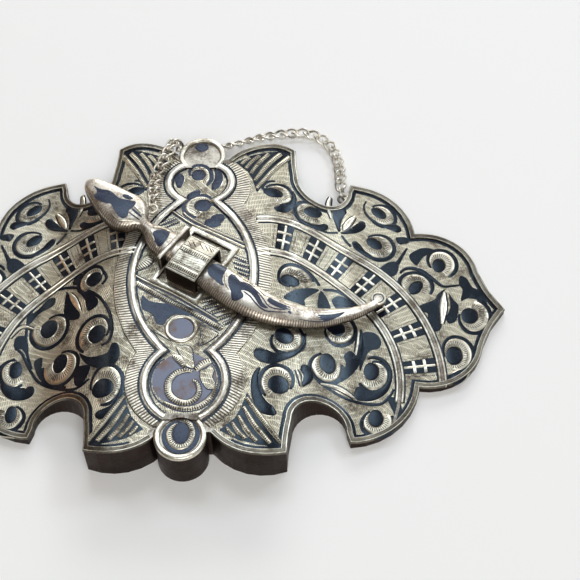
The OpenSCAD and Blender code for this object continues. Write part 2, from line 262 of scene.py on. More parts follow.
def dress(name, material):
    """Gives a piece of the frame its finish."""
    finishes = bpy.data.objects[name].data.materials
    finishes.clear()
    finishes.append(material)


def maths(tree, operation, *values):
    return node(tree, "Math", dict(enumerate(values)), operation=operation).outputs[0]


def group(name, inputs, output):
    """An empty node group with its inputs, and the socket of the one number it puts out."""
    tree = bpy.data.node_groups.new(name, "ShaderNodeTree")
    for socket, kind in inputs:
        tree.interface.new_socket(socket, in_out="INPUT", socket_type="NodeSocket" + kind)
    tree.interface.new_socket(output, in_out="OUTPUT", socket_type="NodeSocketFloat")
    return tree, tree.nodes.new("NodeGroupInput").outputs, tree.nodes.new("NodeGroupOutput").inputs[0]


# Tarnish: cloudy dark patches with fine specks in them
tarnish, given, mask = group(
    "tarnish", [("Vector", "Vector"), ("Patch", "Float"), ("Cover", "Float")], "Mask")
cloud = node(tarnish, "TexNoise", {"Vector": given["Vector"], "Scale": given["Patch"], "Detail": 5,
                                   "Roughness": 0.62})
speck = node(tarnish, "TexNoise", {"Vector": given["Vector"], "Scale": 2600, "Detail": 2})
spotted = maths(tarnish, "MULTIPLY_ADD", speck.outputs["Fac"], 0.35, cloud.outputs["Fac"])
low_edge = maths(tarnish, "SUBTRACT", 1.02, given["Cover"])
high_edge = maths(tarnish, "ADD", low_edge, 0.32)
tarnish.links.new(ranged(tarnish, spotted, low_edge, high_edge, smooth=True), mask)

# Hatching: rows of short graver cuts side by side, turned a little from patch to patch
hatching, given, line = group(
    "hatching", [("Vector", "Vector"), ("Lines", "Float"), ("Rows", "Float")], "Line")
patch = node(hatching, "TexVoronoi", {"Vector": given["Vector"], "Scale": 190})
direction = node(hatching, "SeparateColor", {"Color": patch.outputs["Color"]})
angle = maths(hatching, "MULTIPLY_ADD", direction.outputs[0], 1.3, -0.5)
swirl = node(hatching, "TexNoise", {"Vector": given["Vector"], "Scale": 500, "Detail": 1})
bent = node(hatching, "VectorMath", {0: swirl.outputs["Color"], "Scale": 0.00035}, operation="SCALE")
moved = node(hatching, "VectorMath", {0: given["Vector"], 1: bent.outputs[0]}, operation="ADD")
turned = node(hatching, "VectorRotate", {"Vector": moved.outputs[0], "Angle": angle}, rotation_type="Z_AXIS")
split = node(hatching, "SeparateXYZ", {"Vector": turned.outputs[0]})
wave = maths(hatching, "PINGPONG", maths(hatching, "MULTIPLY", split.outputs["X"], given["Lines"]), 1.0)
row_wave = maths(hatching, "PINGPONG", maths(hatching, "MULTIPLY", split.outputs["Y"], given["Rows"]), 0.5)
dashes = maths(hatching, "MULTIPLY", ranged(hatching, wave, 0.25, 0.75, smooth=True),
               ranged(hatching, row_wave, 0.05, 0.14, smooth=True))
hatching.links.new(dashes, line)

# Notches: short cross cuts along a band, in the band's own length and width
notches, given, cut = group(
    "notches", [("UV", "Vector"), ("Pitch", "Float"), ("From", "Float"), ("To", "Float")], "Cut")
split = node(notches, "SeparateXYZ", {"Vector": given["UV"]})
wave = maths(notches, "PINGPONG", maths(notches, "DIVIDE", split.outputs["X"], given["Pitch"]), 0.5)
inside = maths(notches, "MULTIPLY", maths(notches, "GREATER_THAN", split.outputs["Y"], given["From"]),
               maths(notches, "LESS_THAN", split.outputs["Y"], given["To"]))
notches.links.new(maths(notches, "MULTIPLY", inside, ranged(notches, wave, 0.22, 0.32, smooth=True)), cut)


def begin(name):
    """A new material, its node tree and the places that its patterns read."""
    material = bpy.data.materials.new(name)
    material.use_nodes = True
    return material, material.node_tree, node(material.node_tree, "TexCoord").outputs


def connect(tree, colour, wear, rough, bump, **settings):
    """Links a material's colour, its roughness where it is clean and worn, and its bump."""
    shader = tree.nodes["Principled BSDF"]
    tree.links.new(colour, shader.inputs["Base Color"])
    tree.links.new(ranged(tree, wear, 0, 1, *rough), shader.inputs["Roughness"])
    tree.links.new(bump.outputs["Normal"], shader.inputs["Normal"])
    for socket, value in settings.items():
        shader.inputs[socket.replace("_", " ")].default_value = value


def metal(name, clean, dark, cover=0.5, patch=260, rough=(0.3, 0.5), lines=0, rows=(), depth=1.0,
          walls=None):
    """Silver with tarnish, with graver lines or rows of notches, and painted shade, near black,
    where it faces sideways. The graver's lines are counted to the metre, and each row is a pitch in
    millimetres and its two edges across the band."""
    material, tree, place = begin(name)
    stain = node(tree, "Group", {"Vector": place["Object"], "Patch": patch, "Cover": cover},
                 node_tree=tarnish).outputs[0]
    cuts = None
    if lines:
        cuts = node(tree, "Group", {"Vector": place["Object"], "Lines": lines, "Rows": 1000},
                    node_tree=hatching).outputs[0]
    for pitch, start, stop in rows:
        row = node(tree, "Group", {"UV": place["UV"], "Pitch": pitch, "From": start, "To": stop},
                   node_tree=notches).outputs[0]
        cuts = maths(tree, "MAXIMUM", cuts, row) if cuts else row
    colour = blend(tree, stain, (*clean, 1), (*dark, 1))
    height = node(tree, "TexNoise", {"Vector": place["Object"], "Scale": 1500, "Detail": 4}).outputs["Fac"]
    if cuts:
        darkness = maths(tree, "MULTIPLY", cuts, 0.92 if rows else 0.62)
        colour = blend(tree, darkness, colour, (*dark, 1))
        height = maths(tree, "MULTIPLY_ADD", cuts, -2.2, height)
    # Faces that turn sideways, judged by their normal, are blended to near black: painted shade, with some
    # old tarnish on the plates' walls.
    if walls:
        lean = node(tree, "SeparateXYZ", {"Vector": node(tree, "NewGeometry").outputs["Normal"]})
        dark_side_mottle = node(tree, "TexNoise", {"Vector": place["Object"], "Scale": 130, "Detail": 3})
        black = blend(tree, dark_side_mottle.outputs["Fac"], (0.012, 0.010, 0.010, 1), (0.055, 0.030, 0.022, 1))
        colour = blend(tree, ranged(tree, lean.outputs["Z"], *walls, 1, 0), colour, black)
    bump = node(tree, "Bump", {"Height": height, "Strength": 0.5, "Distance": 0.00006 * depth})
    connect(tree, colour, stain, rough, bump, Metallic=1.0)
    return material


def niello_mix(name, base, rough):
    """Silver, copper and lead melted black into the cuts, then ground flat and half polished."""
    material, tree, place = begin(name)
    pits = node(tree, "TexVoronoi", {"Vector": place["Object"], "Scale": 2300})
    wear = node(tree, "Group", {"Vector": place["Object"], "Patch": 420, "Cover": 0.4},
                node_tree=tarnish).outputs[0]
    colour = blend(tree, wear, (*base, 1), (base[0] * 1.7, base[1] * 1.7, base[2] * 1.6, 1))
    bump = node(tree, "Bump", {"Height": ranged(tree, pits.outputs["Distance"], 0, 0.28, 1, 0),
                               "Strength": 0.35, "Distance": -0.00004})
    connect(tree, colour, wear, rough, bump, Specular_IOR_Level=0.4, Specular_Tint=(0.62, 0.82, 1, 1))
    return material


ground_silver = metal("ground_silver", (0.74, 0.69, 0.54), (0.10, 0.08, 0.06), 0.42, 200,
                      (0.36, 0.5), lines=6800)
bright_silver = metal("bright_silver", (0.82, 0.78, 0.66), (0.26, 0.22, 0.16), 0.42, 220, (0.30, 0.44))
# The rim's top: dark silver, tarnish with painted shade.
rim_silver = metal("rim_silver", (0.22, 0.20, 0.16), (0.07, 0.06, 0.05), 0.5, 150, (0.34, 0.46))
notched_silver = metal("notched_silver", (0.76, 0.71, 0.58), (0.05, 0.04, 0.03), 0.42, 260,
                       (0.32, 0.46), rows=[(0.40, 0.44, 0.92)], depth=2)
# Smooth silver painted dark bluish grey: a painted reflection of the dark room, with brown tarnish.
dark_reflection_silver = metal("dark_reflection_silver", (0.098, 0.10, 0.122), (0.155, 0.10, 0.075), 0.42, 300,
                     (0.30, 0.42), depth=0.4)
rib_silver = metal("rib_silver", (0.80, 0.76, 0.66), (0.34, 0.29, 0.23), 0.38, 120,
                   (0.30, 0.42), depth=0.3)
milled_silver = metal("milled_silver", (0.74, 0.68, 0.56), (0.07, 0.055, 0.042), 0.42, 200,
                      (0.32, 0.46), rows=[(0.56, 0.08, 0.28), (0.56, 0.34, 0.58)], depth=2)
niello = niello_mix("niello", (0.0045, 0.0055, 0.010), (0.22, 0.36))
# A lighter, bluish niello for the pin and the medallion's middle: a painted reflection of the windows.
sheen_painted_niello = niello_mix("sheen_painted_niello", (0.034, 0.037, 0.062), (0.26, 0.40))
# Plates and keeper: near black where the faces turn sideways, painted shade with some old tarnish.
plate_metal = metal("plate_metal", (0.55, 0.51, 0.44), (0.14, 0.12, 0.10), 0.5, 220, (0.4, 0.55),
                    walls=(0.25, 0.7))
for name in ("right_plate", "left_plate"):
    dress(name, plate_metal)

right_top = arcs(QUARTER)
right_edge = right_top + flipped(right_top, y=-1)[1:]
left_edge = flipped(right_edge, x=-1)
bm = new_sheet()
skin(bm, inset(right_edge, 0.8) + by_medallion(arcs(MILLED))[::-1])
finish(bm, "right_ground", ground_silver)
bm = new_sheet()
inner = inset(arcs(RIB), 1.0)
skin(bm, by_medallion(inner + flipped(inner, x=-1)))
finish(bm, "medallion_ground", ground_silver)


# Rim: a half-round bead left standing all along the edge, dark on top, partly with tarnish and
# partly with painted shade, with a fine bright line on each side of it, partly rubbed by wear and
# partly a painted highlight. Round the two middle lobes the bead is bright.
def distances(points):
    """How far along a line each of its points lies."""
    run = [0.0]
    for a, b in zip(points, points[1:]):
        run.append(run[-1] + (b - a).length)
    return run


def sweep(bm, left, right, height, across=7, crown=2.0, sink=0.06, on=on_plate, fade=None):
    """A raised band between two lines of points. Its section is a half oval, or flatter where
    crown is above 2. UV holds the millimetres along it, and 0 to 1 across it."""
    n = len(left) - 1
    grid = bmesh.ops.create_grid(bm, x_segments=n, y_segments=across, size=1)["verts"]
    run = distances([(a + b) / 2 for a, b in zip(left, right)])
    where = {}
    for v in grid:
        i = round((v.co.x + 1) / 2 * n)
        j = round((v.co.y + 1) / 2 * across)
        a = pi * (j % across) / (across - 1)
        c, s = copysign(abs(cos(a)) ** (2 / crown), cos(a)), max(sin(a), 0) ** (2 / crown)
        middle, half = (left[i] + right[i]) / 2, (left[i] - right[i]) / 2
        p = middle + half * c
        rise = (height + sink) * (fade[i] if fade else 1)
        v.co = (p.x, p.y, on(p.x, p.y) - sink + rise * s)
        where[v] = (run[i], j / (across - 1) if j < across else 1.0)
    uv = bm.loops.layers.uv.active
    for f in {f for v in grid for f in v.link_faces}:
        for loop in f.loops:
            loop[uv].uv = where[loop.vert]


def rim(edge, part=slice(None)):
    """The bead along one part of an edge, and the two fine lines on it."""
    bead, fine = new_sheet(), new_sheet()
    sweep(bead, inset(edge, -0.09)[part], inset(edge, 0.99)[part], 0.34, across=10, crown=3.4, sink=0.12)
    # The fine lines are bright silver: wear with painted highlights along the bead's edges.
    for near, far in ((0.0, 0.22), (0.72, 0.94)):
        sweep(fine, inset(edge, near)[part], inset(edge, far)[part], 0.42, across=6)
    return bead, fine


lobe_y, lobe_outer, lobe_inner = 30.25, 4.44, 3.36
bead, fine = rim(right_edge)
for side in (-1, 1):
    centre = Vector((medallion_x, side * lobe_y))
    turns = [radians(side * a) for a in range(-47, 228, 5)]
    outer, inner = ([centre + r * Vector((cos(a), sin(a))) for a in turns] for r in (lobe_outer, lobe_inner))
    sweep(fine, outer, inner, 0.50, across=10, crown=3.0, sink=0.12)
finish(bead, "right_rim", rim_silver)
finish(fine, "right_rim_lines", bright_silver)

# Medallion border: a smooth round rib, and outside it a band milled with two rows of
# short cuts. A line of niello runs along both sides of the rib.
ribs, lines, milled = new_sheet(), new_sheet(), new_sheet()
for side in (-1, 1):
    rib, even_rib, outer = ([Vector((side * p.x + medallion_x, p.y)) for p in points]
                            for points in (arcs(RIB), arcs(RIB, 36), arcs(MILLED, 36)))
    out = -side
    sweep(ribs, inset(rib, out * 0.06), inset(rib, -out * 1.26), 0.52, across=10, crown=2.6, sink=0.1)
    sweep(lines, inset(rib, out * 0.05), inset(rib, out * 0.5), 0.27, across=5, crown=6)
    sweep(lines, inset(rib, -out * 1.2), inset(rib, -out * 1.62), 0.1, across=5, crown=6)
    sweep(milled, inset(outer, out * 0.02), even_rib, 0.24, across=10, crown=9)
finish(ribs, "medallion_rib", rib_silver)
finish(lines, "medallion_lines", niello)
finish(milled, "medallion_milling", milled_silver)


# Curved bands: two curved bands cross each half from the medallion to the rim, each
# edged by a pair of silver ridges with a line of niello between them. The fields between
# the ridges hold plain niello blocks crossed by three silver lines, and hatched silver.
def flow(rows):
    """A smooth line through rows of x, y and width, as rows about 0.3 mm apart."""
    dense = rounded(rows, 12)
    run = distances([row.xy for row in dense])
    count = max(3, ceil(run[-1] / 0.3))
    even, k = [], 0
    for i in range(count + 1):
        s = run[-1] * i / count
        while k < len(run) - 2 and run[k + 1] < s:
            k += 1
        even.append(dense[k].lerp(dense[k + 1], (s - run[k]) / max(run[k + 1] - run[k], 1e-6)))
    return even


def stroke(bm, rows, height, grow=0.0, across=6, crown=2.0, on=on_plate, blunt=False):
    """A raised stroke along rows of x, y and width, with rounded ends unless it is blunt."""
    line = flow(rows)
    run = distances([row.xy for row in line])
    left, right, fade = [], [], []
    for i, row in enumerate(line):
        ahead = (line[min(i + 1, len(line) - 1)] - line[max(i - 1, 0)]).xy.normalized()
        half = max(row.z, 0.1) / 2 + grow
        near = min(run[i], run[-1] - run[i]) / min(half, run[-1] / 3)
        ease = 1 if blunt else sqrt(max(0, 1 - max(0, 1 - near) ** 2))
        out = Vector((-ahead.y, ahead.x)) * half * ease
        left.append(row.xy + out)
        right.append(row.xy - out)
        fade.append(ease)
    sweep(bm, left, right, height, across=across, crown=crown, on=on, fade=fade)


def bow(r, start, stop, width=0.4, step=4):
    """Rows of an arc about the origin, between two angles in degrees."""
    count = max(2, ceil(abs(stop - start) / step))
    turns = [radians(start + (stop - start) * i / count) for i in range(count + 1)]
    return [(r * cos(a), r * sin(a), width) for a in turns]


band_x, band_y, band_inner, band_outer = 12, -16, 24, 31.4
band_middle, block_half = (band_inner + band_outer) / 2, 2.9
BLOCK_ANGLES = (83.3, 71.8, 61.4, 49.4, 36.4, 22.8, 7.6)
# Lines beside each other. Columns: distance from the middle one, width, height
RIDGE_PAIR = [(-0.5, 0.44, 0.30), (0.5, 0.44, 0.30)]
DARK_LINES = [(0, 0.66, 0.12), (-0.85, 0.3, 0.09), (0.85, 0.3, 0.09)]


def spoke(angle, reach, width):
    """Rows of a straight line that crosses a band at an angle in degrees."""
    a = radians(angle)
    return [(r * cos(a), r * sin(a), width) for r in (band_middle - reach, band_middle, band_middle + reach)]


def on_half(side, rows):
    """Rows counted from the middle of the bands' arcs, as rows of one half of the buckle."""
    return [(side * (band_x + x), band_y + y, width) for x, y, width in rows]


ridges, lines, blocks = new_sheet(), new_sheet(), new_sheet()
for side in (-1, 1):
    for r, start in ((band_inner, -9.5), (band_outer, -0.8)):
        for sheet, beside in ((ridges, RIDGE_PAIR), (lines, DARK_LINES)):
            for shift, width, height in beside:
                stroke(sheet, on_half(side, bow(r + shift, start, 94, width, 2)), height, crown=4)
    for angle in BLOCK_ANGLES:
        low, high = angle - block_half, angle + block_half
        block = bow(band_outer - 0.85, low, high, step=2) + bow(band_inner + 0.85, high, low, step=2)
        skin(blocks, on_half(side, block), high=0.09)
        for rows in (bow(band_middle - 0.95, low - 0.2, high + 0.2, 0.585),
                     bow(band_middle + 0.95, low - 0.2, high + 0.2, 0.585), spoke(angle, 3.0, 0.468)):
            stroke(ridges, on_half(side, rows), 0.15, crown=4)
        for beside in (low - 1.1, high + 1.1):
            stroke(lines, on_half(side, spoke(beside, 2.7, 0.22)), 0.07, across=5)
finish(blocks, "band_blocks", niello)
finish(ridges, "band_ridges", bright_silver)
finish(lines, "band_niello", niello)


# Scrollwork: spiral leaves cut round a niello eye. Each volute is an eye, a notched silver
# ring that is wider on one side, a bright lip inside it and a fine niello line round it.
def pebble(bm, x, y, rx, ry, tilt):
    """A low oval dome of niello."""
    made = bmesh.ops.create_uvsphere(bm, u_segments=28, v_segments=8, radius=1)["verts"]
    c, s = cos(radians(tilt)), sin(radians(tilt))
    for v in made:
        px, py = v.co.x * rx, v.co.y * ry
        px, py = x + px * c - py * s, y + px * s + py * c
        v.co = (px, py, on_plate(px, py) + 0.06 + v.co.z * 0.07)


def oval_point(x, y, rx, ry, tilt, angle):
    """The point of a tilted oval at an angle in degrees from its own first axis."""
    a, c, s = radians(angle), cos(radians(tilt)), sin(radians(tilt))
    return Vector((x + rx * cos(a) * c - ry * sin(a) * s, y + rx * cos(a) * s + ry * sin(a) * c))


def volute(silver_bm, lip_bm, dark_bm, row):
    """An eye and the leaf that curls round it and grows wider as it turns."""
    ex, ey, erx, ery, tilt, cx, cy, rx, ry, start, turn = row
    pebble(dark_bm, ex, ey, erx * 1.06, ery * 1.06, tilt)
    inner, outer, groove, lip, fade, dark_fade = [], [], [], [], [], []
    count = 60
    for k in range(count + 1):
        t = k / count
        eye = oval_point(ex, ey, erx, ery, tilt, start + turn * t - tilt)
        outermost = oval_point(cx, cy, rx, ry, tilt, start + turn * t - tilt)
        grown = min(1, abs(turn) * t / 95)
        grown = grown * grown * (3 - 2 * grown)
        out = (outermost - Vector((cx, cy))).normalized()
        edge = eye.lerp(outermost, max(grown, 0.06))
        width = 0.38 + 0.42 * min(1, t * 3) * min(1, (1 - t) * 5 + 0.1)
        inner.append(eye - 0.02 * out)
        outer.append(edge)
        groove.append(edge + width * out)
        lip.append(eye + min(0.26, 0.4 * (edge - eye).length) * out)
        fade.append(min(1, 0.25 + grown * 1.2) * min(1, 0.2 + (1 - t) * 7))
        dark_fade.append(min(1, t * 12) * min(1, (1 - t) * 12) + 0.02)
    groove_inner = [p - 0.04 * (g - p) for p, g in zip(outer, groove)]
    sweep(dark_bm, groove_inner, groove, 0.11, across=5, crown=6, fade=dark_fade)
    sweep(silver_bm, outer, inner, 0.24, across=9, crown=4.5, fade=fade)
    sweep(lip_bm, lip, inner, 0.27, across=5, fade=fade)


def inlay(silver_bm, dark_bm, rows):
    """A stroke of niello. Where it is broad, a thin silver edge is left standing along it."""
    rows = [(x, y, w * 1.15 if w > 0.8 else w) for x, y, w in rows]
    if max(w for _, _, w in rows) > 0.75:
        edge = [(x, y, w + 0.42 * min(1, max(0, (w - 0.6) / 0.5)) - 0.1) for x, y, w in rows]
        stroke(silver_bm, edge, 0.15, crown=3)
        stroke(dark_bm, rows, 0.19, crown=5)
    else:
        stroke(dark_bm, [(x, y, w + 0.18) for x, y, w in rows], 0.12, across=5, crown=5)


def outlined(silver_bm, dark_bm, rows, height=0.26, crown=2.4):
    """A ridge of silver with a dark cut along both sides."""
    stroke(dark_bm, rows, 0.09, grow=0.26, across=5, crown=6)
    stroke(silver_bm, rows, height, across=7, crown=crown)


# Columns: eye x, y, half widths, tilt; its ring's middle x, y, half widths; where the ring
# starts and how far it turns, in degrees
RIGHT_VOLUTES = [
    (15.1, -19.7, 1.75, 1.75, 0, 15.1, -19.5, 2.95, 3.2, -30, 275),
    (15.8, -9.8, 1.6, 1.6, 0, 15.8, -9.8, 3.1, 3.1, 165, 250),
    (23.4, -13.2, 1.4, 2.05, 0, 23.1, -13.7, 2.6, 3.2, 112, 280),
    (31.0, -13.6, 1.3, 1.8, 0, 31.3, -14.2, 2.5, 3.2, 100, -265),
    (31.7, -23.0, 1.25, 1.7, 0, 31.9, -23.5, 2.5, 2.6, 115, 285),
    (24.8, -5.4, 1.6, 1.6, 0, 24.8, -5.4, 3.1, 3.1, 180, 270),
    (16.5, 2.2, 1.7, 1.2, 0, 17.4, 3.0, 3.0, 2.4, 200, -205)]
OUTER_VOLUTES = [
    (48.7, -1.5, 1.5, 1.7, 0, 49.4, -1.5, 2.7, 3.3, 150, 300),
    (45.6, -10.0, 1.4, 1.9, 0, 46.0, -9.7, 2.7, 3.3, 205, -320),
    (43.6, 9.6, 1.2, 1.5, 0, 43.9, 9.8, 2.6, 2.9, 215, -290),
    (39.2, 4.5, 1.6, 1.1, 55, 39.2, 4.8, 2.6, 2.8, 250, -300),
    (31.8, 14.3, 1.7, 1.0, -45, 32.4, 13.6, 2.9, 2.5, 140, -290),
    (32.7, 21.5, 1.7, 0.9, -45, 33.1, 21.1, 2.8, 1.9, 140, -290),
    (20.3, 19.0, 1.7, 1.15, 20, 20.2, 18.6, 2.9, 2.4, 50, 265),
    (12.9, 21.6, 1.9, 1.0, -20, 13.6, 21.4, 2.9, 2.1, 140, -240)]
LEFT_VOLUTES = [
    (-14.6, -20.9, 1.85, 1.9, 0, -14.3, -20.3, 2.8, 3.6, 200, -315),
    (-16.9, -9.5, 1.6, 1.8, 0, -17.4, -9.5, 2.8, 3.5, -35, 290),
    (-26.4, -5.8, 1.6, 1.95, 0, -26.3, -6.0, 3.1, 3.5, 120, -330),
    (-23.3, -13.8, 1.35, 1.95, 0, -23.2, -14.6, 3.0, 3.5, 110, -320),
    (-31.4, -14.1, 1.1, 1.75, 0, -31.5, -14.5, 2.3, 3.0, 80, 245),
    (-31.0, -23.1, 1.0, 1.7, 0, -31.2, -23.2, 2.3, 2.7, 75, -290),
    (-18.8, 2.8, 1.5, 1.5, 0, -18.9, 2.6, 2.5, 2.6, 0, 255)]

# Strokes of niello. Columns: x, y, width
RIGHT_NIELLO = [
    [(11.9, -16.4, .5), (11.2, -18.2, 1.0), (11.1, -20.2, 1.3), (11.6, -22.2, 1.6), (12.6, -24.2, 2.2),
     (14.2, -25.0, 1.9), (15.0, -24.8, 1.3)],
    [(11.6, -12.4, 1.0), (11.9, -13.7, 2.3), (13.6, -14.6, 2.4), (15.6, -14.0, 1.5), (17.4, -13.0, 1.0),
     (18.8, -11.4, .6), (19.4, -9.6, .45), (19.5, -8, .4)],
    [(29.2, -4.6, .4), (29.4, -6.5, .7), (29.3, -8.5, 1.0), (28.8, -10.2, 1.3), (28.2, -11.8, 1.5)],
    [(27.9, -17.6, 2.6), (29.2, -18.0, 3.0), (30.8, -18.4, 2.2), (32.4, -17.9, 1.6), (33.6, -16.7, 1.1),
     (34.3, -14.8, .8), (34.2, -12.9, .7), (33.0, -11.2, .8), (31.4, -10.6, .7), (30.2, -11.1, .4)],
    [(18.6, -15.2, 1.2), (19.6, -15.6, 1.9), (20.1, -16.6, 1.7), (19.8, -17.8, 1.2), (19.0, -19.2, .4)],
    [(15.0, 2.9, .5), (14.5, 2.2, .5), (15.2, 1.2, .5), (16.8, .9, .4)],
    [(14.5, 3.4, .4), (15.2, 4.8, .35), (17.0, 5.8, .35), (19.2, 5.4, .4), (20.8, 4.2, .5),
     (21.8, 2.6, .6)],
    [(22.2, 2.1, .4), (24.7, 2.7, .5), (26.9, 1.7, .5), (28.4, -.2, .4)],
    [(21.4, -17.1, .4), (23.8, -18.3, .4), (27.3, -19.6, .45), (32.1, -20.2, .45), (34.2, -18.4, .4),
     (34.9, -16.8, .3)]]
OUTER_NIELLO = [
    [(36.4, 7.5, .5), (37.0, 8.4, .6), (38.3, 8.9, .7), (40.3, 8.3, .9), (42.2, 6.7, .8), (44.0, 5.0, .6),
     (45.5, 5.0, .5), (47.3, 5.3, .4)],
    [(48.6, -10.8, .5), (47.9, -12.3, 1.0), (46.6, -13.9, 1.9), (45.3, -14.6, 1.9), (44.4, -14.4, 1.2)],
    [(41.8, -6.0, .5), (42.6, -8.6, .6), (43.9, -11.2, .4)],
    [(38.0, 13.6, .4), (37.2, 12.2, .6), (36.4, 10.6, .8), (35.8, 9.6, 1.2)],
    [(27.9, 14.9, .8), (28.6, 13.6, 1.4), (29.8, 12.2, 1.0), (31.4, 11.1, .9), (33.2, 10.8, .8),
     (34.7, 11.6, .7), (35.4, 13.2, .5), (35.1, 14.8, .4), (34.0, 16.0, .3)],
    [(25.6, 15.8, .4), (26.4, 14.6, .4), (27.6, 13.2, .4)],
    [(36.2, 15.3, .9), (36.7, 15.0, 1.5), (37.4, 14.8, .9)],
    [(30.4, 24.6, .4), (29.9, 22.8, .4), (30.6, 20.9, .5), (32.2, 19.3, .7), (34.2, 18.5, 1.1),
     (35.9, 18.0, 1.6), (36.6, 17.0, 1.0)],
    [(26.8, 21.6, 1.4), (25.4, 21.2, 2.2), (24.9, 19.6, 1.8), (25.0, 18.0, 1.0), (25.3, 16.2, .4)],
    [(29.2, 19.8, .5), (29.4, 18.6, 1.7), (28.2, 17.4, 1.5), (26.8, 16.6, .8), (25.4, 16.1, .4)],
    [(17.2, 19.6, .4), (17.1, 18.0, .5), (17.9, 16.5, .7), (19.8, 15.8, .9), (21.6, 15.9, 1.3),
     (22.6, 16.6, 1.2), (22.9, 17.4, .7)],
    [(20.5, 15.5, .3), (23, 15.4, .3), (25.2, 16.1, .3)],
    [(16.4, 22.8, .5), (16.8, 21.2, .9), (16.4, 19.6, 1.3), (15.2, 18.4, 2.0), (14.0, 18.0, 1.5),
     (13.3, 18.6, .7)],
    [(11.6, 22.0, .4), (10.9, 22.9, .5), (11.8, 24.1, .4), (13.4, 24.4, .3)]]
LEFT_NIELLO = [
    [(-11.8, -19, .5), (-11.5, -22, .6), (-12.4, -24.6, 1.0), (-14.2, -26.0, 1.9), (-15.2, -25.2, 1.0)],
    [(-28.5, -14.1, .4), (-29.8, -10.7, .45), (-30.5, -6.9, .45), (-30.4, -2.6, .45), (-29.0, .9, .5),
     (-26.6, 2.6, .5), (-23.4, 2.5, .5), (-20.1, .9, .5), (-17.1, -1.8, .5), (-15.1, -5.2, .5),
     (-14.2, -8.7, .5), (-14.5, -11.2, .45), (-16, -12.2, .3)],
    [(-32.3, -9.4, .4), (-30.7, -10.7, .45), (-28.9, -14, .45), (-26.7, -16.9, .45), (-23, -19, .45),
     (-19.6, -19.9, .45), (-17.1, -18.4, .3)],
    [(-31.8, -11.5, .4), (-33.6, -13.9, .6), (-33.2, -16.2, 1.2), (-32.4, -17.8, 1.9),
     (-30.8, -18.9, 2.4), (-28.6, -18.7, 2.2), (-28.3, -17.2, 1.0)],
    [(-28.3, -27.2, .8), (-30.2, -26.9, 1.0), (-32.4, -26.6, .9), (-34.4, -25.4, 1.4),
     (-35.4, -23.2, 2.0), (-35.3, -20.8, 2.2), (-34.6, -19.2, 1.4)],
    [(-22.9, 4.4, .6), (-22, 5.8, .5), (-20, 5.9, .4), (-17.5, 4.5, .4), (-16.4, 2.5, .5),
     (-17.2, 1.0, .4)]]

# Pointed fields of niello between the volutes, as outlines
RIGHT_FIELDS = [
    [(29.4, -5.8), (31.6, -5.5), (32.8, -7.2), (32.4, -8.7), (30.8, -9.3), (29.9, -11.2), (29.0, -13.7),
     (29.0, -10.0)],
    [(33.8, -19.2), (35.2, -18.8), (36.2, -20.8), (35.7, -23.9), (34.1, -25.9), (31.4, -27.1),
     (28.9, -26.6), (30.7, -26.0), (33.4, -25.1), (34.8, -22.4)],
    [(26.2, -10.8), (27.5, -9.6), (29.0, -11.7), (28.0, -13.9), (26.2, -15.9), (24.5, -17.1),
     (22.6, -18.3), (24.5, -16.1), (25.7, -14.2), (26.6, -12.4)],
    [(15.5, -1.8), (17.3, 0.3), (20.1, 1.7), (21.7, 1.8), (20.1, 0.0), (19.2, -1.2), (19.3, -2.4),
     (18.4, -2.3)],
    [(21.9, 1.7), (21.6, -2.6), (23.9, -2.6), (23.3, 0.2)],
    [(24.0, 0.5), (25.5, 1.8), (27.3, 0.9), (27.8, -0.6), (25.1, -1.2)]]
OUTER_FIELDS = [
    [(47.4, 7.3), (48.6, 6.7), (49.5, 4.9), (50.9, 4.0), (51.8, 1.9), (52.4, -0.3), (51.6, 1.4),
     (50.4, 2.1), (48.6, 2.4), (47.3, 1.8), (47.7, 4.2), (47.1, 5.5)],
    [(44.7, 4.4), (43.2, 3.2), (42.5, 1.9), (39.9, 0.6), (39.4, -0.7), (41.2, -1.1), (41.0, -3.4),
     (42.0, -4.8), (43.3, -4.6), (43.8, -2.4), (43.2, -0.1), (43.5, 2.3)],
    [(45.2, 3.3), (46.0, 1.9), (46.8, 0.7), (46.5, -1.9), (45.9, -2.9), (44.9, -3.1), (44.5, -2.1),
     (45.3, 0.2), (45.3, 1.9)],
    [(38.4, 12.1), (40.6, 13.5), (42.6, 13.3), (43.4, 12.3), (41.4, 12.0), (40.4, 10.8), (39.5, 9.6),
     (38.4, 10.8)],
    [(44.0, -14.2), (46.5, -13.4), (47.9, -12.7), (47.5, -14.5), (46.0, -15.8), (44.6, -15.6)],
    [(35.8, 15.8), (37.7, 15.9), (38.2, 14.7), (36.4, 14.5)],
    [(32.8, 8.6), (34.6, 10.2), (36.2, 9.9), (35.8, 7.5), (34.2, 6.9)]]
LEFT_FIELDS = [
    [(-30.9, -3.0), (-29.1, -1.3), (-27.5, 0.9), (-26.1, 0.9), (-26.3, -0.7), (-28.6, -2.0),
     (-30.2, -4.3)],
    [(-24.0, 2.2), (-24.1, 0.0), (-23.9, -3.1), (-22.7, -4.7), (-21.0, -5.1), (-20.7, -4.1),
     (-22.1, -1.9), (-23.4, 0.7)],
    [(-21.8, 1.5), (-19.2, -0.1), (-17.5, -2.1), (-17.7, -3.4), (-19.0, -4.0), (-19.6, -3.2),
     (-20.1, -1.3)],
    [(-32.3, -7.3), (-30.9, -6.9), (-29.9, -8.6), (-29.6, -11.5), (-30.8, -9.8), (-32.3, -9.4)],
    [(-28.3, -12.4), (-26.9, -11.8), (-26.6, -14.3), (-25.0, -17.2), (-21.5, -18.9), (-23.0, -19.2),
     (-25.9, -17.3), (-27.6, -14.9)],
    [(-20.1, -15.7), (-17.4, -15.9), (-17.9, -18.2), (-18.8, -19.6), (-20.0, -18.8)],
    [(-19.8, -12.7), (-17.6, -14.1), (-14.7, -13.9), (-13.9, -12.0), (-12.8, -12.2), (-12.3, -14.2),
     (-13.1, -16.2), (-15.5, -16.8), (-18.2, -15.3)],
    [(-22.9, 4.0), (-22.4, 4.8), (-21.4, 4.9), (-21.5, 2.7), (-22.9, 3.0)]]

